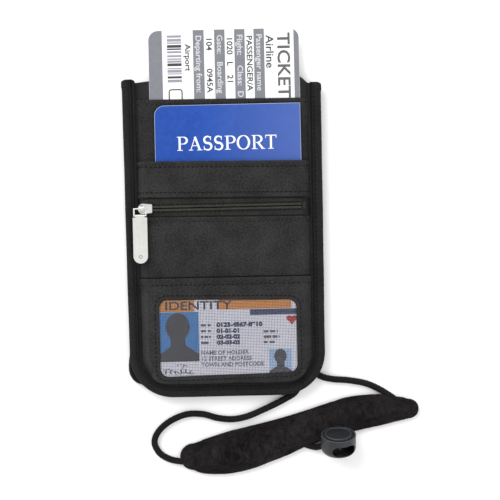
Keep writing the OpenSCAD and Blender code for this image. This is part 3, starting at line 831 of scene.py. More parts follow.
class PANELS_OT_build(PieceOperator, bpy.types.Operator):
    """Adds the back, the linings and the pocket panels"""
    bl_idname = "neck_pouch.panels"
    bl_label = "Cloth Panels"

    def execute(self, context):
        cols = context.scene.neck_pouch.panel_columns
        outer, inner = ("shell_fabric", shell_fabric()), ("lining_fabric", lining_fabric())

        def back_top(x):
            return BACK_TOP_Y + np.interp(x, BACK_TOP_X, BACK_TOP_RISE)

        def back_height(x, y):
            return BACK_Z + 0.12 * soft_waves(x, y) * rise(x, y)

        def lining_height(x, y):
            return LINING_Z + 0.1 * soft_waves(x, y) * rise(x, y)

        def pocket_lining_height(x, y):
            return 6.3 + 2.6 * rise(x, y)

        # Each panel: its piece and node, its low and high edge, its height, its cloth and its shape
        panels = (
            ("back_panel_cloth", "back_panel", -HALF_H, BACK_TOP_Y, back_height, outer,
             {"inset": 6, "top": back_top}),
            ("back_lining_cloth", "back_lining", -HALF_H, BACK_TOP_Y, lining_height, inner,
             {"inset": 6, "top": lambda x: back_top(x) - 1.2}),
            ("slip_pocket_cloth", "slip_pocket_panel", -HALF_H, MOUTHS["slip"][0], slip_height,
             outer, {"top": lambda x: mouth("slip", x)}),
            ("zip_pocket_lining_cloth", "zip_pocket_lining", -HALF_H, 30.5, pocket_lining_height,
             inner, {}),
            ("passport_pocket_cloth", "passport_pocket_panel", MOUTHS["fold"][0],
             MOUTHS["passport"][0], front_height, outer,
             {"step": 0.6, "top": lambda x: mouth("passport", x),
              "bottom": lambda x: mouth("fold", x)}),
            ("zip_pocket_cloth", "zip_pocket_panel", -HALF_H, MOUTHS["lower"][0], front_height,
             outer, {"step": 0.8, "top": lambda x: mouth("lower", x)}),
        )
        for piece, replaced, low, high, height, (slot_name, finish), shape in panels:
            grid = panel_grid(low, high, height, cols=cols, **shape)
            thickness = CLOTH_T if slot_name == "shell_fabric" else LINING_T
            add_mesh(piece, shell(grid, thickness), "pouch", finish,
                     replaces=(replaced,))
        return {"FINISHED"}


def window_ring(grow, count):
    """Points round the window's rounded rectangle, grown, anticlockwise from its right side."""
    hx, hy, r = WINDOW_HALF[0] + grow, WINDOW_HALF[1] + grow, WINDOW_R + grow * 0.6
    a = np.linspace(0, math.pi / 2, 12)
    corner = np.stack([np.cos(a), np.sin(a)], -1) * r
    parts = []
    for c, s, cx, cy in ((1, 0, hx - r, hy - r), (0, 1, r - hx, hy - r), (-1, 0, r - hx, r - hy),
                         (0, -1, hx - r, r - hy)):
        parts.append(np.stack([corner[:, 0] * c - corner[:, 1] * s + cx,
                               corner[:, 0] * s + corner[:, 1] * c + cy], -1))
    loop = np.concatenate(parts)
    loop[:, 1] *= 1 - WINDOW_TAPER * smoothstep((loop[:, 0] / hx + 1) / 2)
    loop = np.concatenate([loop, loop[:1]])
    gone = run_lengths(loop)
    return look_up(np.arange(count) / count * gone[-1], gone, loop)


class CARD_POCKET_OT_build(PieceOperator, bpy.types.Operator):
    """Adds the card pocket with its window, film and mesh"""
    bl_idname = "neck_pouch.card_pocket"
    bl_label = "Card Pocket and Window"

    def execute(self, context):
        count = 480
        inner = window_ring(0, count) + WINDOW_MID
        edge = edge_line(SEAM_INSET, 0.5)
        edge = edge[edge[:, 1] <= mouth("card", edge[:, 0])]
        x = np.linspace(edge[-1, 0], edge[0, 0], 200)
        loop = np.concatenate([edge, np.stack([x, mouth("card", x)], -1)[1:]])
        outer = self.by_angle(loop, inner)
        share = np.linspace(0, 1, 34)[:, None]
        flat = outer * (1 - share[..., None]) + inner * share[..., None]
        x, y = flat[..., 0], flat[..., 1]
        z = card_height(x, y) - 0.25 * smoothstep((share - 0.9) / 0.1)
        add_mesh("card_pocket_cloth", shell(np.stack([x, y, z], -1), 0.4, wrap=True), "pouch",
                 shell_fabric(), replaces=("card_pocket_panel",))
        film_x, film_y = WINDOW_HALF[0] + FILM_LAP, WINDOW_HALF[1] + FILM_LAP
        mx, my = WINDOW_MID
        x, y = np.meshgrid(np.linspace(mx - film_x, mx + film_x, 40),
                           np.linspace(my - film_y, my + film_y, 24))
        film = np.stack([x, y, np.full_like(x, FILM_Z)], -1)
        add_mesh("card_window_film", shell(film, 0.08), "pouch", self.film(),
                 replaces=("card_window",))
        pitch, wide = 0.92, 0.17
        xs = np.arange(mx - film_x + 0.3, mx + film_x, pitch)
        ys = np.arange(my - film_y + 0.3, my + film_y, pitch)
        threads = [slab_box(a - wide / 2, my - film_y, a + wide / 2, my + film_y, FILM_Z + 0.09,
                            0.08) for a in xs]
        threads += [slab_box(mx - film_x, b - wide / 2, mx + film_x, b + wide / 2,
                             FILM_Z + 0.12, 0.08) for b in ys]
        add_mesh("window_mesh_threads", join(threads), "pouch", self.threads())
        return {"FINISHED"}

    def by_angle(self, loop, inner):
        """For each inner point, the outer loop's point in the same direction from the middle."""
        mid = np.array(WINDOW_MID)
        closed = np.concatenate([loop, loop[:1]])
        dense = resample(closed, 0.2)[0]
        ang = np.unwrap(np.arctan2(dense[:, 1] - mid[1], dense[:, 0] - mid[0]))
        want = np.unwrap(np.arctan2(inner[:, 1] - mid[1], inner[:, 0] - mid[0]))
        want = (want - ang[0]) % TAU + ang[0]
        order = np.argsort(ang)
        return look_up(want, ang[order], dense[order])

    def film(self):
        """Clear film that barely shows."""
        return material("clear_film", "grain", (0.9, 0.9, 0.92), (0.95, 0.95, 0.97),
                        (0.15, 0.28), 0.01, alpha=0.03, Scale=800.0)

    def threads(self):
        """Thin dark mesh that lets the card show."""
        return material("mesh_threads", "grain", (0.030, 0.030, 0.040), (0.060, 0.060, 0.075),
                        (0.5, 0.7), 0.01, alpha=0.6, specular=0.2, Scale=800.0)


class BINDING_OT_build(PieceOperator, bpy.types.Operator):
    """Adds the edge binding, folded over at its two upper ends"""
    bl_idname = "neck_pouch.binding"
    bl_label = "Edge Binding"

    def execute(self, context):
        settings = context.scene.neck_pouch
        path = at_level(edge_line(0, 0.8), 0)
        profile = np.array([
            (0.0, BINDING_MID_Z), (0.15, 5.2), (0.9, 4.4), (2.2, BINDING_LOW), (5.0, BINDING_LOW + 0.1),
            (7.7, BINDING_LOW), (BINDING_W, 4.5), (BINDING_W, BINDING_MID_Z), (BINDING_W, 7.7),
            (7.8, 8.15), (7.4, BINDING_TOP), (6.95, 8.5), (6.55, 8.0), (6.25, 7.3), (5.85, 7.3),
            (5.5, 8.0), (5.1, 8.1), (4.5, 7.6), (3.6, 8.08), (2.6, 8.2), (1.6, 8.1), (0.8, 7.7),
            (0.2, 7.0)])
        _, length = resample(path, 1.0)
        along = np.linspace(0, length, len(path))
        end = np.minimum(along, length - along)
        folded = smoothstep((6.0 - end) / 1.5)[:, None]
        pull = 0.22 * np.sin(along / (settings.stitch_pitch / MM) * TAU)[:, None]
        wave = 0.12 * np.sin(along / 23)[:, None] + 0.08 * np.sin(along / 7.3)[:, None]
        left = profile[:, 0] - 0.35 * folded * (profile[:, 0] < 1) + wave * 0.5
        z = profile[:, 1] + (profile[:, 1] - BINDING_MID_Z) * 0.22 * folded
        upper = profile[:, 1] > BINDING_MID_Z
        near = np.exp(-((profile[:, 0] - BINDING_STITCH[0]) / 1.2) ** 2) * upper
        z = z + pull * near + wave * 0.5 * upper
        short = END_ROUND - np.clip(end, 0, END_ROUND)
        cut = (END_ROUND - np.sqrt(END_ROUND ** 2 - short ** 2))[:, None]
        left = BINDING_W / 2 + (left - BINDING_W / 2) * (1 - cut / (BINDING_W / 2))
        z = BINDING_MID_Z + (z - BINDING_MID_Z) * (1 - 0.3 * cut / END_ROUND)
        add_mesh("edge_binding_tape", sweep(path, np.stack([left, z], -1)), "pouch",
                 binding_fabric(), sweep_uv(along, run_lengths(profile)),
                 sharp=60, replaces=("edge_binding",))
        row = at_level(edge_line(BINDING_STITCH[0], 0.8)[2:-2], BINDING_STITCH[1])
        add_mesh("edge_binding_stitches", sewn_row(row, settings), "pouch",
                 thread_and_shade())
        return {"FINISHED"}


class SEAMS_OT_build(PieceOperator, bpy.types.Operator):
    """Adds the hems and rows of stitches of the pockets"""
    bl_idname = "neck_pouch.seams"
    bl_label = "Hems and Stitches"

    def execute(self, context):
        settings = context.scene.neck_pouch

        def low_slip(x, y):
            return slip_height(x, y) - LOW_HEM

        hems = [self.hem("slip", low_slip, 2.6), self.hem("passport", front_height, 2.2),
                self.hem("card", card_height, 2.4), self.hem("fold", front_height, -1.6),
                self.hem("lower", front_height, 1.8)]
        add_mesh("pocket_hems", join(hems), "pouch", shell_fabric())
        rows, shades = [], []
        for name, down, height, low in (("slip", 2.8, slip_height, LOW_STITCH),
                                        ("passport", 3.4, front_height, 0),
                                        ("fold", -3.0, front_height, 0),
                                        ("lower", 2.8, front_height, LOW_STITCH),
                                        ("card", 4.0, card_height, 0)):
            x = np.linspace(-1, 1, 200) * (half_width(MOUTHS[name][0], BINDING_W) - 0.3)
            y = mouth(name, x) - down
            rows.append(sewn_row(np.stack([x, y, height(x, y) - low], -1), settings))
        # Dark strips just past the card, fold and lower pocket edges: painted shade of the gap under each
        # edge.
        for name, off, level in (("card", 0.45, None), ("fold", -0.45, 10.78),
                                 ("lower", 0.45, 10.78)):
            x = np.linspace(-1, 1, 200) * (half_width(MOUTHS[name][0], BINDING_W) - 0.2)
            y = mouth(name, x) + off
            z = front_height(x, y) + 0.16 if level is None else np.full(200, level)
            shades.append(ribbon(np.stack([x, y], -1), 0.8, z, 0.1))
        add_mesh("pocket_mouth_shades", join(shades), "pouch", thread_and_shade())
        ring = window_ring(2.6, 400) + WINDOW_MID
        ring = np.concatenate([ring, ring[:1]])
        rows.append(sewn_row(at_level(ring, card_height(*ring.T)), settings))
        add_mesh("pocket_stitches", join(rows), "pouch", thread_and_shade())
        return {"FINISHED"}

    def hem(self, name, height, wide):
        """A folded edge: a flattened tube along a pocket's edge."""
        x = np.linspace(-1, 1, 160) * (half_width(MOUTHS[name][0], BINDING_W) + 0.2)
        y = mouth(name, x) - wide / 2
        path = np.stack([x, y, height(x, y) - 0.02], -1)
        a = np.arange(16) / 16 * TAU
        section = np.stack([np.sign(np.cos(a)) * np.abs(np.cos(a)) ** 0.6 * abs(wide) / 2,
                            0.36 * np.sin(a)], -1)
        return sweep(path, section)


class ZIP_OT_build(PieceOperator, bpy.types.Operator):
    """Adds the zip's tapes, coils and stops, and finishes the slider and its pull"""
    bl_idname = "neck_pouch.zip"
    bl_label = "Zip"

    def execute(self, context):
        for name, low, high in (("zipper_tape_upper", 18.75, 28.3),
                                ("zipper_tape_lower", 8.7, 18.25)):
            x, y = np.meshgrid(np.linspace(-50.5, 50.5, 120), np.linspace(low, high, 14))
            z = TAPE_TOP_Z - 3.3 * (1 - rise(x, y))
            add_mesh(name + "_cloth", shell(np.stack([x, y, z], -1), 0.4), "pouch",
                     zip_fabric(), replaces=(name,))
        for name, middle, sign in (("zipper_teeth_upper", 19.5, 1),
                                   ("zipper_teeth_lower", 17.5, -1)):
            turns, per_turn = 60, 12
            s = np.arange(turns * per_turn + 1) / per_turn
            a = s * TAU
            x = -COIL_END_X + s / turns * 2 * COIL_END_X
            path = np.stack([x + 0.08 * np.sin(a), middle - sign * COIL_SWING * np.cos(a),
                             COIL_Z + 0.42 * np.sin(a) * sign], -1)
            add_mesh(name + "_coil", sweep(path, circle(COIL_WIRE_R, 6)), "pouch",
                     coil_nylon(), replaces=(name,))
        rows = []
        for y in (20.9, 16.1):
            x = np.linspace(-46, 46, 300)
            rows.append(sewn_row(np.stack([x, np.full(300, y), np.full(300, TAPE_TOP_Z + 0.1)],
                                          -1), context.scene.neck_pouch))
        add_mesh("zip_tape_stitches", join(rows), "pouch", thread_and_shade())
        dress("zipper_end_stops", "zip_teeth", black_lacquer(), 0.15)
        dress("slider_body", "slider_metal", chrome(), 0.25)
        dress("pull_bail", "slider_metal", chrome())
        dress("pull_tab", "pull_metal", satin_metal(), 0.3)
        # A thin darker ring on the tab, painted as the shade round the rim of its dimple.
        a = np.linspace(0, TAU, 40)
        ring = np.stack([TAB_SHADE_RING[0] + 0.95 * np.cos(a), TAB_SHADE_RING[1] + 0.95 * np.sin(a)], -1)
        add_mesh("pull_tab_shade_ring", ribbon(ring, 0.35, TAB_SHADE_RING[2] + 0.02), "tab",
                 flat_colour("ring_shade", (0.22, 0.22, 0.21)))
        return {"FINISHED"}


# Each letter in a square one high: its width, its straight strokes as (line, width) and its bends
STEM = [([(0.2, 0), (0.2, 1)], 0.15), ([(0.03, 0.025), (0.4, 0.025)], 0.05),
        ([(0.03, 0.975), (0.3, 0.975)], 0.05)]
BOWL = [("bowl", 0.2, 0.475, 0.975, 0.48)]
LETTERS = {
    "P": (0.74, STEM, BOWL),
    "A": (0.86, [([(0.13, 0.02), (0.43, 0.98)], 0.06), ([(0.41, 0.98), (0.73, 0.02)], 0.15),
                 ([(0.22, 0.34), (0.62, 0.34)], 0.05), ([(0.0, 0.025), (0.28, 0.025)], 0.05),
                 ([(0.55, 0.025), (0.9, 0.025)], 0.05)], []),
    "S": (0.66, [], [("ess",)]),
    "O": (0.92, [], [("ring",)]),
    "R": (0.84, STEM + [([(0.42, 0.5), (0.76, 0.03)], 0.14),
                        ([(0.66, 0.025), (0.92, 0.025)], 0.05)], BOWL),
    "T": (0.80, [([(0.4, 0), (0.4, 0.96)], 0.15), ([(0.22, 0.025), (0.58, 0.025)], 0.05),
                 ([(0.04, 0.965), (0.76, 0.965)], 0.07), ([(0.055, 0.78), (0.055, 0.98)], 0.05),
                 ([(0.745, 0.78), (0.745, 0.98)], 0.05)], []),
}


def letter_strokes(letter):
    """A letter's width and all its strokes as (line, width), its bends drawn as arcs."""
    wide, straight, bends = LETTERS[letter]
    strokes = list(straight)
    for bend in bends:
        if bend[0] == "bowl":
            _, x, low, high, reach = bend
            a = np.linspace(-math.pi / 2, math.pi / 2, 24)
            mid, half = (low + high) / 2, (high - low) / 2
            line = np.stack([x + 0.2 + (reach - 0.2) * np.cos(a), mid + half * np.sin(a)], -1)
            line = np.concatenate([[(x, low)], line, [(x, high)]])
            strokes.append((line, 0.05 + 0.1 * np.concatenate([[0], np.cos(a), [0]])))
        elif bend[0] == "ring":
            a = np.linspace(0, TAU, 60)
            line = np.stack([0.46 + 0.37 * np.cos(a), 0.5 + 0.485 * np.sin(a)], -1)
            strokes.append((line, 0.05 + 0.11 * np.abs(np.cos(a))))
        else:
            a = np.linspace(math.radians(35), math.radians(270), 26)
            top = np.stack([0.33 + 0.22 * np.cos(a), 0.745 + 0.235 * np.sin(a)], -1)
            b = np.linspace(math.radians(90), math.radians(-145), 26)
            low = np.stack([0.33 + 0.25 * np.cos(b), 0.265 + 0.245 * np.sin(b)], -1)
            line = np.concatenate([top, low[1:]])
            t = np.linspace(-1, 1, len(line))
            strokes.append((line, 0.06 + 0.1 * (1 - t ** 2)))
            strokes.append(([(0.53, 0.72), (0.53, 0.99)], 0.05))
            strokes.append(([(0.1, 0.01), (0.1, 0.29)], 0.05))
    return wide, strokes


class BOOKLET_OT_build(PieceOperator, bpy.types.Operator):
    """Finishes the passport booklet and prints its title"""
    bl_idname = "neck_pouch.booklet"
    bl_label = "Passport Booklet"

    def execute(self, context):
        settings = context.scene.neck_print
        dress("passport_cover", "booklet_cover", cover_blue(), 0.12)
        dress("passport_pages", "booklet_paper", paper())
        strokes, x = [], 0.0
        for letter in "PASSPORT":
            wide, parts = letter_strokes(letter)
            strokes += [(np.asarray(line, float) + [x, 0], width) for line, width in parts]
            x += wide + 0.06
        size = settings.word_height / MM
        stretch = 61.0 / (x * size)
        shapes = []
        for i, (line, width) in enumerate(strokes):
            line = line * [size * stretch, size] + [2.9 - 30.5, 53.1]
            level = COVER_TOP_Z + 0.03 + 0.001 * (i % 5)
            shapes.append(ribbon(line, np.asarray(width) * size, level, 0.04))
        add_mesh("passport_title", join(shapes), "passport",
                 flat_colour("white_foil", (0.86, 0.87, 0.88)))
        # A thin pale line along the cover's left, top and right edges.
        left, right, low, high, r = -40.55, 47.15, -44.3, 80.35, 5.9
        a = np.linspace(math.pi, math.pi / 2, 16)
        upper = np.stack([left + r + r * np.cos(a), high - r + r * np.sin(a)], -1)
        paled = np.concatenate([[(left, low + r)], upper, [(right, high), (right, low)]])
        paled = resample(paled, 0.8)[0]
        add_mesh("passport_pale_edge", ribbon(paled, 0.22, COVER_TOP_Z + 0.02), "passport",
                 flat_colour("pale_edge", (0.42, 0.46, 0.56)))
        return {"FINISHED"}


def words(text, height, x, y, z, turn=0.0, stretch=1.0, bold=0.0, thickness=0.02):
    """Plain printed words: their left end at (x, y), turned, their faces raised to z."""
    curve = bpy.data.curves.new("words", "FONT")
    curve.body = text
    curve.size = height / 0.7
    curve.extrude = thickness / 2
    curve.offset = bold
    curve.resolution_u = 3
    holder = bpy.data.objects.new("words", curve)
    bpy.context.scene.collection.objects.link(holder)
    bpy.context.view_layer.update()
    mesh = bpy.data.meshes.new_from_object(holder.evaluated_get(
        bpy.context.evaluated_depsgraph_get()))
    mesh.calc_loop_triangles()
    points = np.zeros(len(mesh.vertices) * 3)
    mesh.vertices.foreach_get("co", points)
    faces = np.zeros(len(mesh.loop_triangles) * 3, np.int32)
    mesh.loop_triangles.foreach_get("vertices", faces)
    bpy.data.objects.remove(holder)
    bpy.data.curves.remove(curve)
    bpy.data.meshes.remove(mesh)
    points = points.reshape(-1, 3) * [stretch, 1, 1]
    c, s = math.cos(turn), math.sin(turn)
    flat = points[:, :2] @ np.array([[c, s], [-s, c]]) + [x, y]
    level = points[:, 2:] - points[:, 2].max() + z
    return np.concatenate([flat, level], -1), [faces.reshape(-1, 3)]


def bars(rng, x0, x1, y0, y1, lines, z, dense=0.72, height=0.5):
    """Made-up lines of print: random short bars in rows."""
    shapes = []
    step = (y1 - y0) / lines
    for row in range(lines):
        at = x0
        end = x0 + (x1 - x0) * rng.uniform(0.55, 1.0)
        low = y0 + step * (row + 0.5 - height / 2)
        while at < end:
            word = min(rng.uniform(1.2, 4.6), end - at)
            if rng.uniform() < dense + 0.2:
                shapes.append(slab_box(at, low, at + word, low + step * height, z))
            at += word + rng.uniform(0.5, 1.2)
    return shapes


class PASS_OT_build(PieceOperator, bpy.types.Operator):
    """Finishes the boarding pass and prints its bands, bar code and made-up text"""
    bl_idname = "neck_pouch.boarding_pass"
    bl_label = "Boarding Pass"

    def execute(self, context):
        rng = np.random.default_rng(context.scene.neck_print.seed)
        dress("boarding_pass", "pass_paper", paper("pass_paper", 0.82), 0.05)
        z, low, high = PASS_TOP_Z + 0.03, 40.0, 125.9
        bands = ((-43.4, -35.2), (-16.5, -9.9), (-3.6, 2.7), (8.5, 14.8), (20.2, 26.5),
                 (44.3, 47.4))
        shapes = []
        for x0, x1 in bands:
            x = np.linspace(x0, x1, 16)
            from_side = np.minimum(x + 43.5, 47.5 - x)
            drop = 6 - np.sqrt(np.clip(36 - np.clip(6 - from_side, 0, 6) ** 2, 0, None))
            grid = np.stack([np.stack([x, np.full(16, low)], -1),
                             np.stack([x, high - drop], -1)], 0)
            shapes.append(shell(at_level(grid, z), 0.03))
        add_mesh("pass_bands", join(shapes), "boarding_pass",
                 flat_colour("band_grey", (0.195, 0.200, 0.228)))
        dark, pale, at = [], [], 94.6
        while at < 122.2:
            thick = rng.choice([0.7, 0.9, 1.3, 1.7])
            box = slab_box(-32.2, at, -23.6, min(at + thick, 123.0), z)
            (dark if rng.uniform() < 0.4 else pale).append(box)
            at += thick + rng.choice([0.4, 0.7, 1.1])
        add_mesh("pass_code_dark", join(dark), "boarding_pass",
                 flat_colour("print_black", (0.045, 0.045, 0.05)))
        add_mesh("pass_code_grey", join(pale), "boarding_pass",
                 flat_colour("print_grey", (0.30, 0.29, 0.34)))
        a = np.linspace(0, TAU, 60)
        corner = 0.35
        box_x = -27.6 + 3.9 * np.sign(np.cos(a)) * np.abs(np.cos(a)) ** corner
        box_y = 86.6 + 3.6 * np.sign(np.sin(a)) * np.abs(np.sin(a)) ** corner
        print_shapes = [ribbon(np.stack([box_x, box_y], -1), 0.75, z)]
        down = -math.pi / 2
        for text, height, x, y in (("Airport", 3.3, -21.3, 117.5), ("104", 3.4, -8.4, 121.5),
                                   ("0945A", 3.4, -8.4, 102.5), ("1020", 3.4, 4.0, 121.5),
                                   ("L", 3.4, 4.0, 106.5), ("21", 3.4, 4.0, 98.5),
                                   ("PASSENGER/A", 3.4, 15.9, 122.0),
                                   ("Airline", 4.6, 27.6, 121.8)):
            print_shapes.append(words(text, height, x, y, z, down, 1.12, 0.1))
        add_mesh("pass_print", join(print_shapes), "boarding_pass",
                 flat_colour("print_black", (0.045, 0.045, 0.05)))
        pale = []
        for text, x, y in (("Departing from:", -14.8, 122.8), ("Gate:   Boarding", -2.0, 122.8),
                           ("Flight:    Class:  D", 10.1, 122.8), ("Passenger name", 21.8, 122.8)):
            pale.append(words(text, 3.4, x, y, z + 0.03, down, 1.1, 0.06))
        add_mesh("pass_band_print", join(pale), "boarding_pass",
                 flat_colour("print_white", (0.62, 0.62, 0.64)))
        add_mesh("pass_heading", words("TICKET", 7.4, 34.6, 123.2, z, down, 1.12, 0.2),
                 "boarding_pass", flat_colour("heading_grey", (0.11, 0.11, 0.12)))
        return {"FINISHED"}


class CARD_OT_build(PieceOperator, bpy.types.Operator):
    """Finishes the identity card and prints its plain pattern and faceless figures"""
    bl_idname = "neck_pouch.identity_card"
    bl_label = "Identity Card"

    def execute(self, context):
        rng = np.random.default_rng(context.scene.neck_print.seed + 1)
        dress("id_card", "card_plastic", card_white(), 0.1)
        z = CARD_TOP_Z + 0.03
        layers = {
            "orange": ((0.62, 0.24, 0.035), [
                slab_box(-41.3, -43.8, -19.0, -30.5, z), slab_box(-4.4, -42.9, 39.2, -30.5, z)]),
            "navy": ((0.012, 0.035, 0.12), [slab_box(14.3, -46.6, 43.2, -43.1, z + 0.02)]),
            "blue": ((0.030, 0.20, 0.52), [slab_box(-40.7, -73.6, -16.7, -43.9, z)]),
            "sky": ((0.36, 0.52, 0.78), [slab_box(25.2, -82.6, 38.6, -67.2, z)]),
            "figure": ((0.030, 0.030, 0.038), self.figure(-29.3, -52.8, 1.0, z + 0.03, -73.6,
                                                          (-40.7, -16.7))),
            "small_figure": ((0.03, 0.03, 0.038), self.figure(31.9, -71.6, 0.52, z + 0.06, -82.6,
                                                              (25.2, 38.6))),
            "heart": ((0.42, 0.015, 0.02), [disc((37.7, -48.9), (1.75, 1.6), z),
                                            disc((40.7, -48.9), (1.75, 1.6), z),
                                            ribbon([(39.2, -48.6), (39.2, -52.8)],
                                                   (6.6, 0.3), z + 0.01)]),
            "title": ((0.020, 0.022, 0.04), [words("IDENTITY", 5.0, -37.0, -42.6, z + 0.03,
                                                   stretch=1.3, bold=0.12)]),
            "strong_text": ((0.012, 0.02, 0.09), [
                words(text, height, -5.9, y, z, stretch=stretch, bold=0.24)
                for text, height, y, stretch in (("0123-4567-8910", 2.4, -53.2, 1.2),
                                                 ("01-01-01", 2.3, -56.8, 1.15),
                                                 ("02-02-02", 2.3, -60.3, 1.15),
                                                 ("03-03-03", 2.3, -63.8, 1.15))]),
            "text": ((0.10, 0.10, 0.14), [
                words(text, 2.4, -15.6, y, z, stretch=0.98, bold=0.06)
                for text, y in (("NAME OF HOLDER", -69.8), ("12 STREET ADDRESS", -73.4),
                                ("TOWN AND POSTCODE", -77.0))]
                + bars(rng, -15.6, -7.2, -64.4, -50.4, 4, z, height=0.4, dense=0.9)
                + bars(rng, 22.0, 33.0, -64.6, -55.0, 3, z, height=0.45, dense=0.9)),
            "signature": ((0.02, 0.02, 0.03), self.signature(z)),
        }
        for name, (colour, shapes) in layers.items():
            add_mesh("card_print_" + name, join(shapes), "id_card",
                     flat_colour("ink_" + name, colour, 0.3))
        return {"FINISHED"}

    def figure(self, x, y, size, z, foot, sides):
        """A plain head and shoulders, with no face, its shoulders reaching both sides of its picture."""
        across = np.linspace(sides[0], sides[1], 50)
        u = np.abs(across - (sides[0] + sides[1]) / 2) / (sides[1] - sides[0]) * 2
        high = foot + size * (9.2 - 4.8 * smoothstep((u - 0.3) / 0.8))
        grid = np.stack([np.stack([across, np.full(50, foot)], -1), np.stack([across, high], -1)], 0)
        return [shell(at_level(grid, z), 0.03), disc((x, y), (7.2 * size, 8.4 * size), z + 0.01),
                ribbon([(x, y - 5 * size), (x, y - 8 * size), (x, y - 12.5 * size)],
                       np.array([9.0, 8.6, 9.6]) * size, z + 0.005)]

    def signature(self, z):
        """A made-up scribble from sine waves, crossed by two strokes."""
        t = np.linspace(0, 1, 120)
        x = -38.5 + 18.0 * t + 1.0 * np.sin(t * 38)
        y = -79.8 + 1.5 * np.sin(t * 43 + 0.7) * (1 - 0.4 * t) + 0.5 * np.sin(t * 11)
        cross = np.stack([np.linspace(-30.5, -23.5, 20),
                          -76.0 + 0.6 * np.sin(np.linspace(0, 4, 20))], -1)
        return [ribbon(np.stack([x, y], -1), 0.42, z), ribbon(cross, 0.4, z),
                ribbon([(-26.0, -75.8), (-28.2, -79.6)], 0.45, z)]


class ANCHORS_OT_build(PieceOperator, bpy.types.Operator):
    """Adds the two sewn loops that hold the cords behind the pouch"""
    bl_idname = "neck_pouch.anchors"
    bl_label = "Cord Loops"

    def execute(self, context):
        settings = context.scene.neck_pouch
        for name, x in (("cord_anchor_left", -50.0), ("cord_anchor_right", 50.0)):
            y, v = np.meshgrid(np.linspace(74.2, 89.8, 40), np.linspace(-1, 1, 36), indexing="ij")
            over = 0.35 + 3.95 * (1 - np.abs(v) ** 3.2)
            z = np.clip(4.4 - over, 0.05, 4.4)
            grid = np.stack([x + 5.9 * v, y, z + 0.5], -1)
            add_mesh(name + "_tape", shell(grid, 0.5), "pouch", binding_fabric(),
                     replaces=(name,))
            rows = []
            for side in (-5.0, 5.0):
                line = np.stack([np.full(20, x + side), np.linspace(75, 89, 20),
                                 np.full(20, 1.75)], -1)
                rows.append(sewn_row(line, settings, 0.0))
            add_mesh(name + "_stitches", join(rows), "pouch", thread_and_shade())
        return {"FINISHED"}


PAD_SIDES, PAD_SEAM_Z = 44, 2.2
SETTLE_LIMIT, SETTLE_SINK, SETTLE_SMOOTHING = 0.7, 0.12, 3


def under_lock(x, y):
    """The highest z that stays clear of the leaning cord lock, and a high one away from it."""
    reach = LOCK_R + LOCK_GAP
    dx, dy = x - LOCK_X, y - LOCK_Y
    below = np.sqrt(np.clip(reach ** 2 - dx ** 2, 0, None))
    low = (dy * math.sin(LOCK_TILT) - below) / math.cos(LOCK_TILT)
    along = dy * math.cos(LOCK_TILT) + low * math.sin(LOCK_TILT)
    near = (np.abs(dx) < reach) & (along > -2) & (along < LOCK_L + 4)
    return np.where(near, np.maximum(LOCK_Z + low, 0.4), 99.0)


def pad_rows(step=1.2, shrink=0.0):
    """The pad's middle line and half widths, with round ends."""
    line = smooth_line(PAD_LINE, step)
    first, last = line[0], line[-1]
    ahead = headings(line[:, :2])
    a = np.linspace(0, math.pi / 2, 14)[1:]
    start = [(*(first[:2] - ahead[0] * first[2] * math.sin(k)), first[2] * math.cos(k))
             for k in a[::-1]]
    end = [(*(last[:2] + ahead[-1] * last[2] * math.sin(k)), last[2] * math.cos(k)) for k in a]
    rows = np.concatenate([start, line, end])
    rows[:, 2] = np.maximum(rows[:, 2] - shrink, 0.05)
    return rows


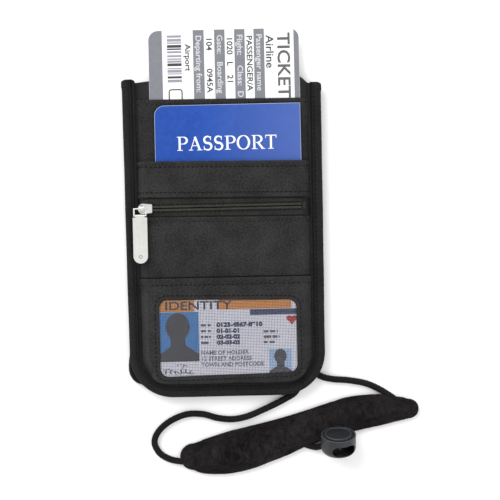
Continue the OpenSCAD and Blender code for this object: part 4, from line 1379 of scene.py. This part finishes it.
class PAD_OT_build(PieceOperator, bpy.types.Operator):
    """Adds the neck pad: its cover filled by a cloth simulation, its backing and loose fibres"""
    bl_idname = "neck_pouch.pad"
    bl_label = "Neck Pad"

    def execute(self, context):
        settings = context.scene.neck_pad
        rows = pad_rows()
        cover = self.pillow(rows, 0.85, 4.2, "neck_pad_fleece", fleece(), ("neck_pad_cover",))
        self.settle(context, cover, settings.pressure)
        backing = self.pillow(pad_rows(shrink=0.3), 0.0, 0.82, "neck_pad_backing", lining_fabric(),
                              ("neck_pad_base",))
        dress("neck_pad_core", "pad_foam", foam())
        self.rim(rows, context.scene.neck_pouch)
        self.fuzz(rows, settings.fibres)
        return {"FINISHED"}

    def pillow(self, rows, low, high, name, finish, replaced):
        """A flat pillow: each section is width cos a to the 0.55 by height sin a to the 0.8."""
        a = np.arange(PAD_SIDES) / PAD_SIDES * TAU
        c, s = np.cos(a), np.sin(a)
        side = np.sign(c) * np.abs(c) ** 0.55
        up = np.sign(s) * np.abs(s) ** 0.8
        end = np.clip(rows[:, 2] / 6, 0.12, 1) ** 0.5
        half, mid = (high - low) / 2, (high + low) / 2
        left = rows[:, 2:3] * side
        z = half * end[:, None] * up
        points, faces = sweep(at_level(rows[:, :2], mid), np.stack([left, z], -1))
        points[:, 2] = np.minimum(points[:, 2], under_lock(points[:, 0], points[:, 1]))
        uv = sweep_uv(np.linspace(0, 140, len(rows)), a * 12)
        return add_mesh(name, (points, faces), "pouch", finish, uv, sharp=89,
                        replaces=replaced)

    def settle(self, context, pad, pressure):
        """Fills the cover as cloth with its lower half held, then keeps every point near where it was."""
        count = len(pad.data.vertices)
        before = np.zeros(count * 3)
        pad.data.vertices.foreach_get("co", before)
        before = before.reshape(-1, 3)
        held = pad.vertex_groups.new(name="sewn")
        held.add([int(i) for i in np.flatnonzero(before[:, 2] < PAD_SEAM_Z * MM)], 1.0, "REPLACE")
        cloth = pad.modifiers.new("fill", "CLOTH")
        cloth.settings.quality = 5
        cloth.settings.mass = 0.2
        cloth.settings.use_pressure = True
        cloth.settings.uniform_pressure_force = pressure
        cloth.settings.vertex_group_mass = "sewn"
        cloth.settings.shrink_min = -0.03
        cloth.settings.effector_weights.gravity = 0.0
        cloth.point_cache.frame_start, cloth.point_cache.frame_end = 1, 20
        for number in range(1, 21):
            context.scene.frame_set(number)
        shown = pad.evaluated_get(context.evaluated_depsgraph_get()).to_mesh()
        after = np.zeros(count * 3)
        shown.vertices.foreach_get("co", after)
        moved = np.nan_to_num(after.reshape(-1, 3) - before)
        pad.modifiers.remove(cloth)
        context.scene.frame_set(1)
        moved = np.clip(moved, -SETTLE_LIMIT * MM, SETTLE_LIMIT * MM)
        rings = moved[:-2].reshape(-1, PAD_SIDES, 3)
        for _ in range(SETTLE_SMOOTHING):
            ends = np.concatenate([rings[:1], rings, rings[-1:]])
            rings = (rings * 2 + ends[:-2] + ends[2:] + np.roll(rings, 1, 1)
                     + np.roll(rings, -1, 1)) / 6
        upper = before[:-2].reshape(-1, PAD_SIDES, 3)[..., 2:] > PAD_SEAM_Z * MM
        rings = np.where(upper, rings, 0.0)
        rings[..., 2] = np.maximum(rings[..., 2], -SETTLE_SINK * MM)
        settled = before.copy()
        settled[:-2] += rings.reshape(-1, 3)
        pad.data.vertices.foreach_set("co", settled.ravel())
        pad.data.update()

    def rim(self, rows, settings):
        """The stitched line just inside the pad's edge."""
        path = at_level(rows[:, :2], 0)
        ahead = headings(path)
        left = np.cross([0, 0, 1.0], ahead)
        keep = slice(8, len(rows) - 8)
        lines = []
        for side in (1, -1):
            line = path[keep] + left[keep] * side * (rows[keep, 2:3] - 1.5)
            line[:, 2] = np.minimum(3.35, under_lock(line[:, 0], line[:, 1]) - 0.3)
            lines.append(sewn_row(line, settings, 0.0))
        add_mesh("neck_pad_stitches", join(lines), "pouch", thread_and_shade())

    def fuzz(self, rows, count):
        """Loose fibres: short bent three-sided needles standing out of the cover at random."""
        rng = np.random.default_rng(3)
        pick = rng.integers(14, len(rows) - 14, count)
        across = rng.uniform(-1, 1, count)
        across = np.sign(across) * np.abs(across) ** 0.7
        path = at_level(rows[:, :2], 2.5)
        left = np.cross([0, 0, 1.0], headings(path))
        width = rows[pick, 2]
        root = path[pick] + left[pick] * (across * width * 0.985)[:, None]
        dome = (1 - np.abs(across) ** 3.6) ** 0.45
        root[:, 2] = 2.5 + 1.72 * dome
        clear = under_lock(root[:, 0], root[:, 1]) > 90
        pick, across, root, count = pick[clear], across[clear], root[clear], int(clear.sum())
        lean = rng.normal(size=(count, 3)) * [1, 1, 0.25]
        lean += left[pick] * (across ** 5)[:, None] * 1.5 + [0, 0, 0.35]
        lean = unit(lean)
        length = rng.uniform(0.5, 1.3, count)[:, None]
        bend = rng.normal(size=(count, 3)) * [0.25, 0.25, 0.08]
        middle = root + lean * length * 0.5 + bend * 0.4
        tip = root + lean * length + bend
        tip[:, 2] = np.maximum(tip[:, 2], 0.3)
        a = np.arange(3) / 3 * TAU
        ring = np.stack([np.cos(a), np.sin(a), 0 * a], -1) * 0.045
        points = np.concatenate([root[:, None] + ring, middle[:, None] + ring * 0.8,
                                 tip[:, None]], 1)
        j, k = np.arange(3), (np.arange(3) + 1) % 3
        starts = (np.arange(count) * 7)[:, None, None]
        wall = np.stack([j, k, k + 3, j + 3], -1)[None] + starts
        tip_faces = np.stack([j + 3, k + 3, np.full(3, 6)], -1)
        cap = np.concatenate([tip_faces, [[2, 1, 0]]])[None] + starts
        add_mesh("neck_pad_fibres", (points.reshape(-1, 3), [wall.reshape(-1, 4),
                 cap.reshape(-1, 3)]), "pouch", fleece(), sharp=180)


class LOCK_OT_build(PieceOperator, bpy.types.Operator):
    """Finishes the cord lock's barrel, button and spring"""
    bl_idname = "neck_pouch.lock"
    bl_label = "Cord Lock"

    def execute(self, context):
        dress("lock_barrel", "lock_plastic", lock_plastic(), 0.45)
        dress("lock_button", "lock_plastic", button_plastic(), 0.25)
        dress("lock_spring", "spring_wire", steel())
        # Two thin pale rings painted as highlights: one on the barrel's rim and one round the button.
        self.ring("lock_rim_painted_highlight", "pouch", LOCK_R - 0.45, LOCK_L - 0.05, painted_highlight_plastic())
        self.ring("lock_button_painted_highlight", "button", LOCK_R - 3.0, LOCK_L + 0.55, painted_highlight_plastic())
        return {"FINISHED"}

    def ring(self, name, body, radius, along, finish):
        """A thin raised ring about the lock's axis: a small circle swept round a larger one."""
        a = np.linspace(0, TAU, 97)
        axis = np.array([0, math.cos(LOCK_TILT), math.sin(LOCK_TILT)])
        up = np.array([0, -math.sin(LOCK_TILT), math.cos(LOCK_TILT)])
        path = (np.array([LOCK_X, LOCK_Y, LOCK_Z]) + axis * along
                + radius * (np.cos(a)[:, None] * np.array([1.0, 0, 0]) + np.sin(a)[:, None] * up))
        add_mesh(name, sweep(path, circle(0.16, 8)), body, finish)


class VIEW3D_PT_neck_pouch(bpy.types.Panel):
    """Settings and a button for each group of pieces"""
    bl_label = "Neck Pouch Wallet"
    bl_space_type = "VIEW_3D"
    bl_region_type = "UI"
    bl_category = "Neck Pouch"

    def draw(self, context):
        layout = self.layout
        for name in SETTINGS:
            group = getattr(context.scene, name)
            box = layout.box()
            for key in group.bl_rna.properties.keys():
                if key not in ("rna_type", "name"):
                    box.prop(group, key)
        for operator in OPERATORS:
            layout.operator(operator.bl_idname)


SETTINGS = {"neck_pouch": PouchSettings, "neck_print": PrintSettings, "neck_cords": CordSettings,
            "neck_pad": PadSettings, "neck_stage": StageSettings}
OPERATORS = (STAGE_OT_build, CORDS_OT_build, PANELS_OT_build, CARD_POCKET_OT_build,
             BINDING_OT_build, SEAMS_OT_build, ZIP_OT_build, BOOKLET_OT_build, PASS_OT_build,
             CARD_OT_build, ANCHORS_OT_build, PAD_OT_build, LOCK_OT_build)


def register():
    """Adds the settings, the operators and the panel"""
    for made in (*SETTINGS.values(), *OPERATORS, VIEW3D_PT_neck_pouch):
        bpy.utils.register_class(made)
    for name, made in SETTINGS.items():
        setattr(bpy.types.Scene, name, PointerProperty(type=made))


def unregister():
    """Takes them away again"""
    for name in SETTINGS:
        delattr(bpy.types.Scene, name)
    for made in (VIEW3D_PT_neck_pouch, *reversed(OPERATORS), *SETTINGS.values()):
        bpy.utils.unregister_class(made)


def main():
    """Builds everything, one operator after another"""
    register()
    for operator in OPERATORS:
        area, name = operator.bl_idname.split(".")
        getattr(getattr(bpy.ops, area), name)()


if __name__ == "__main__":
    main()
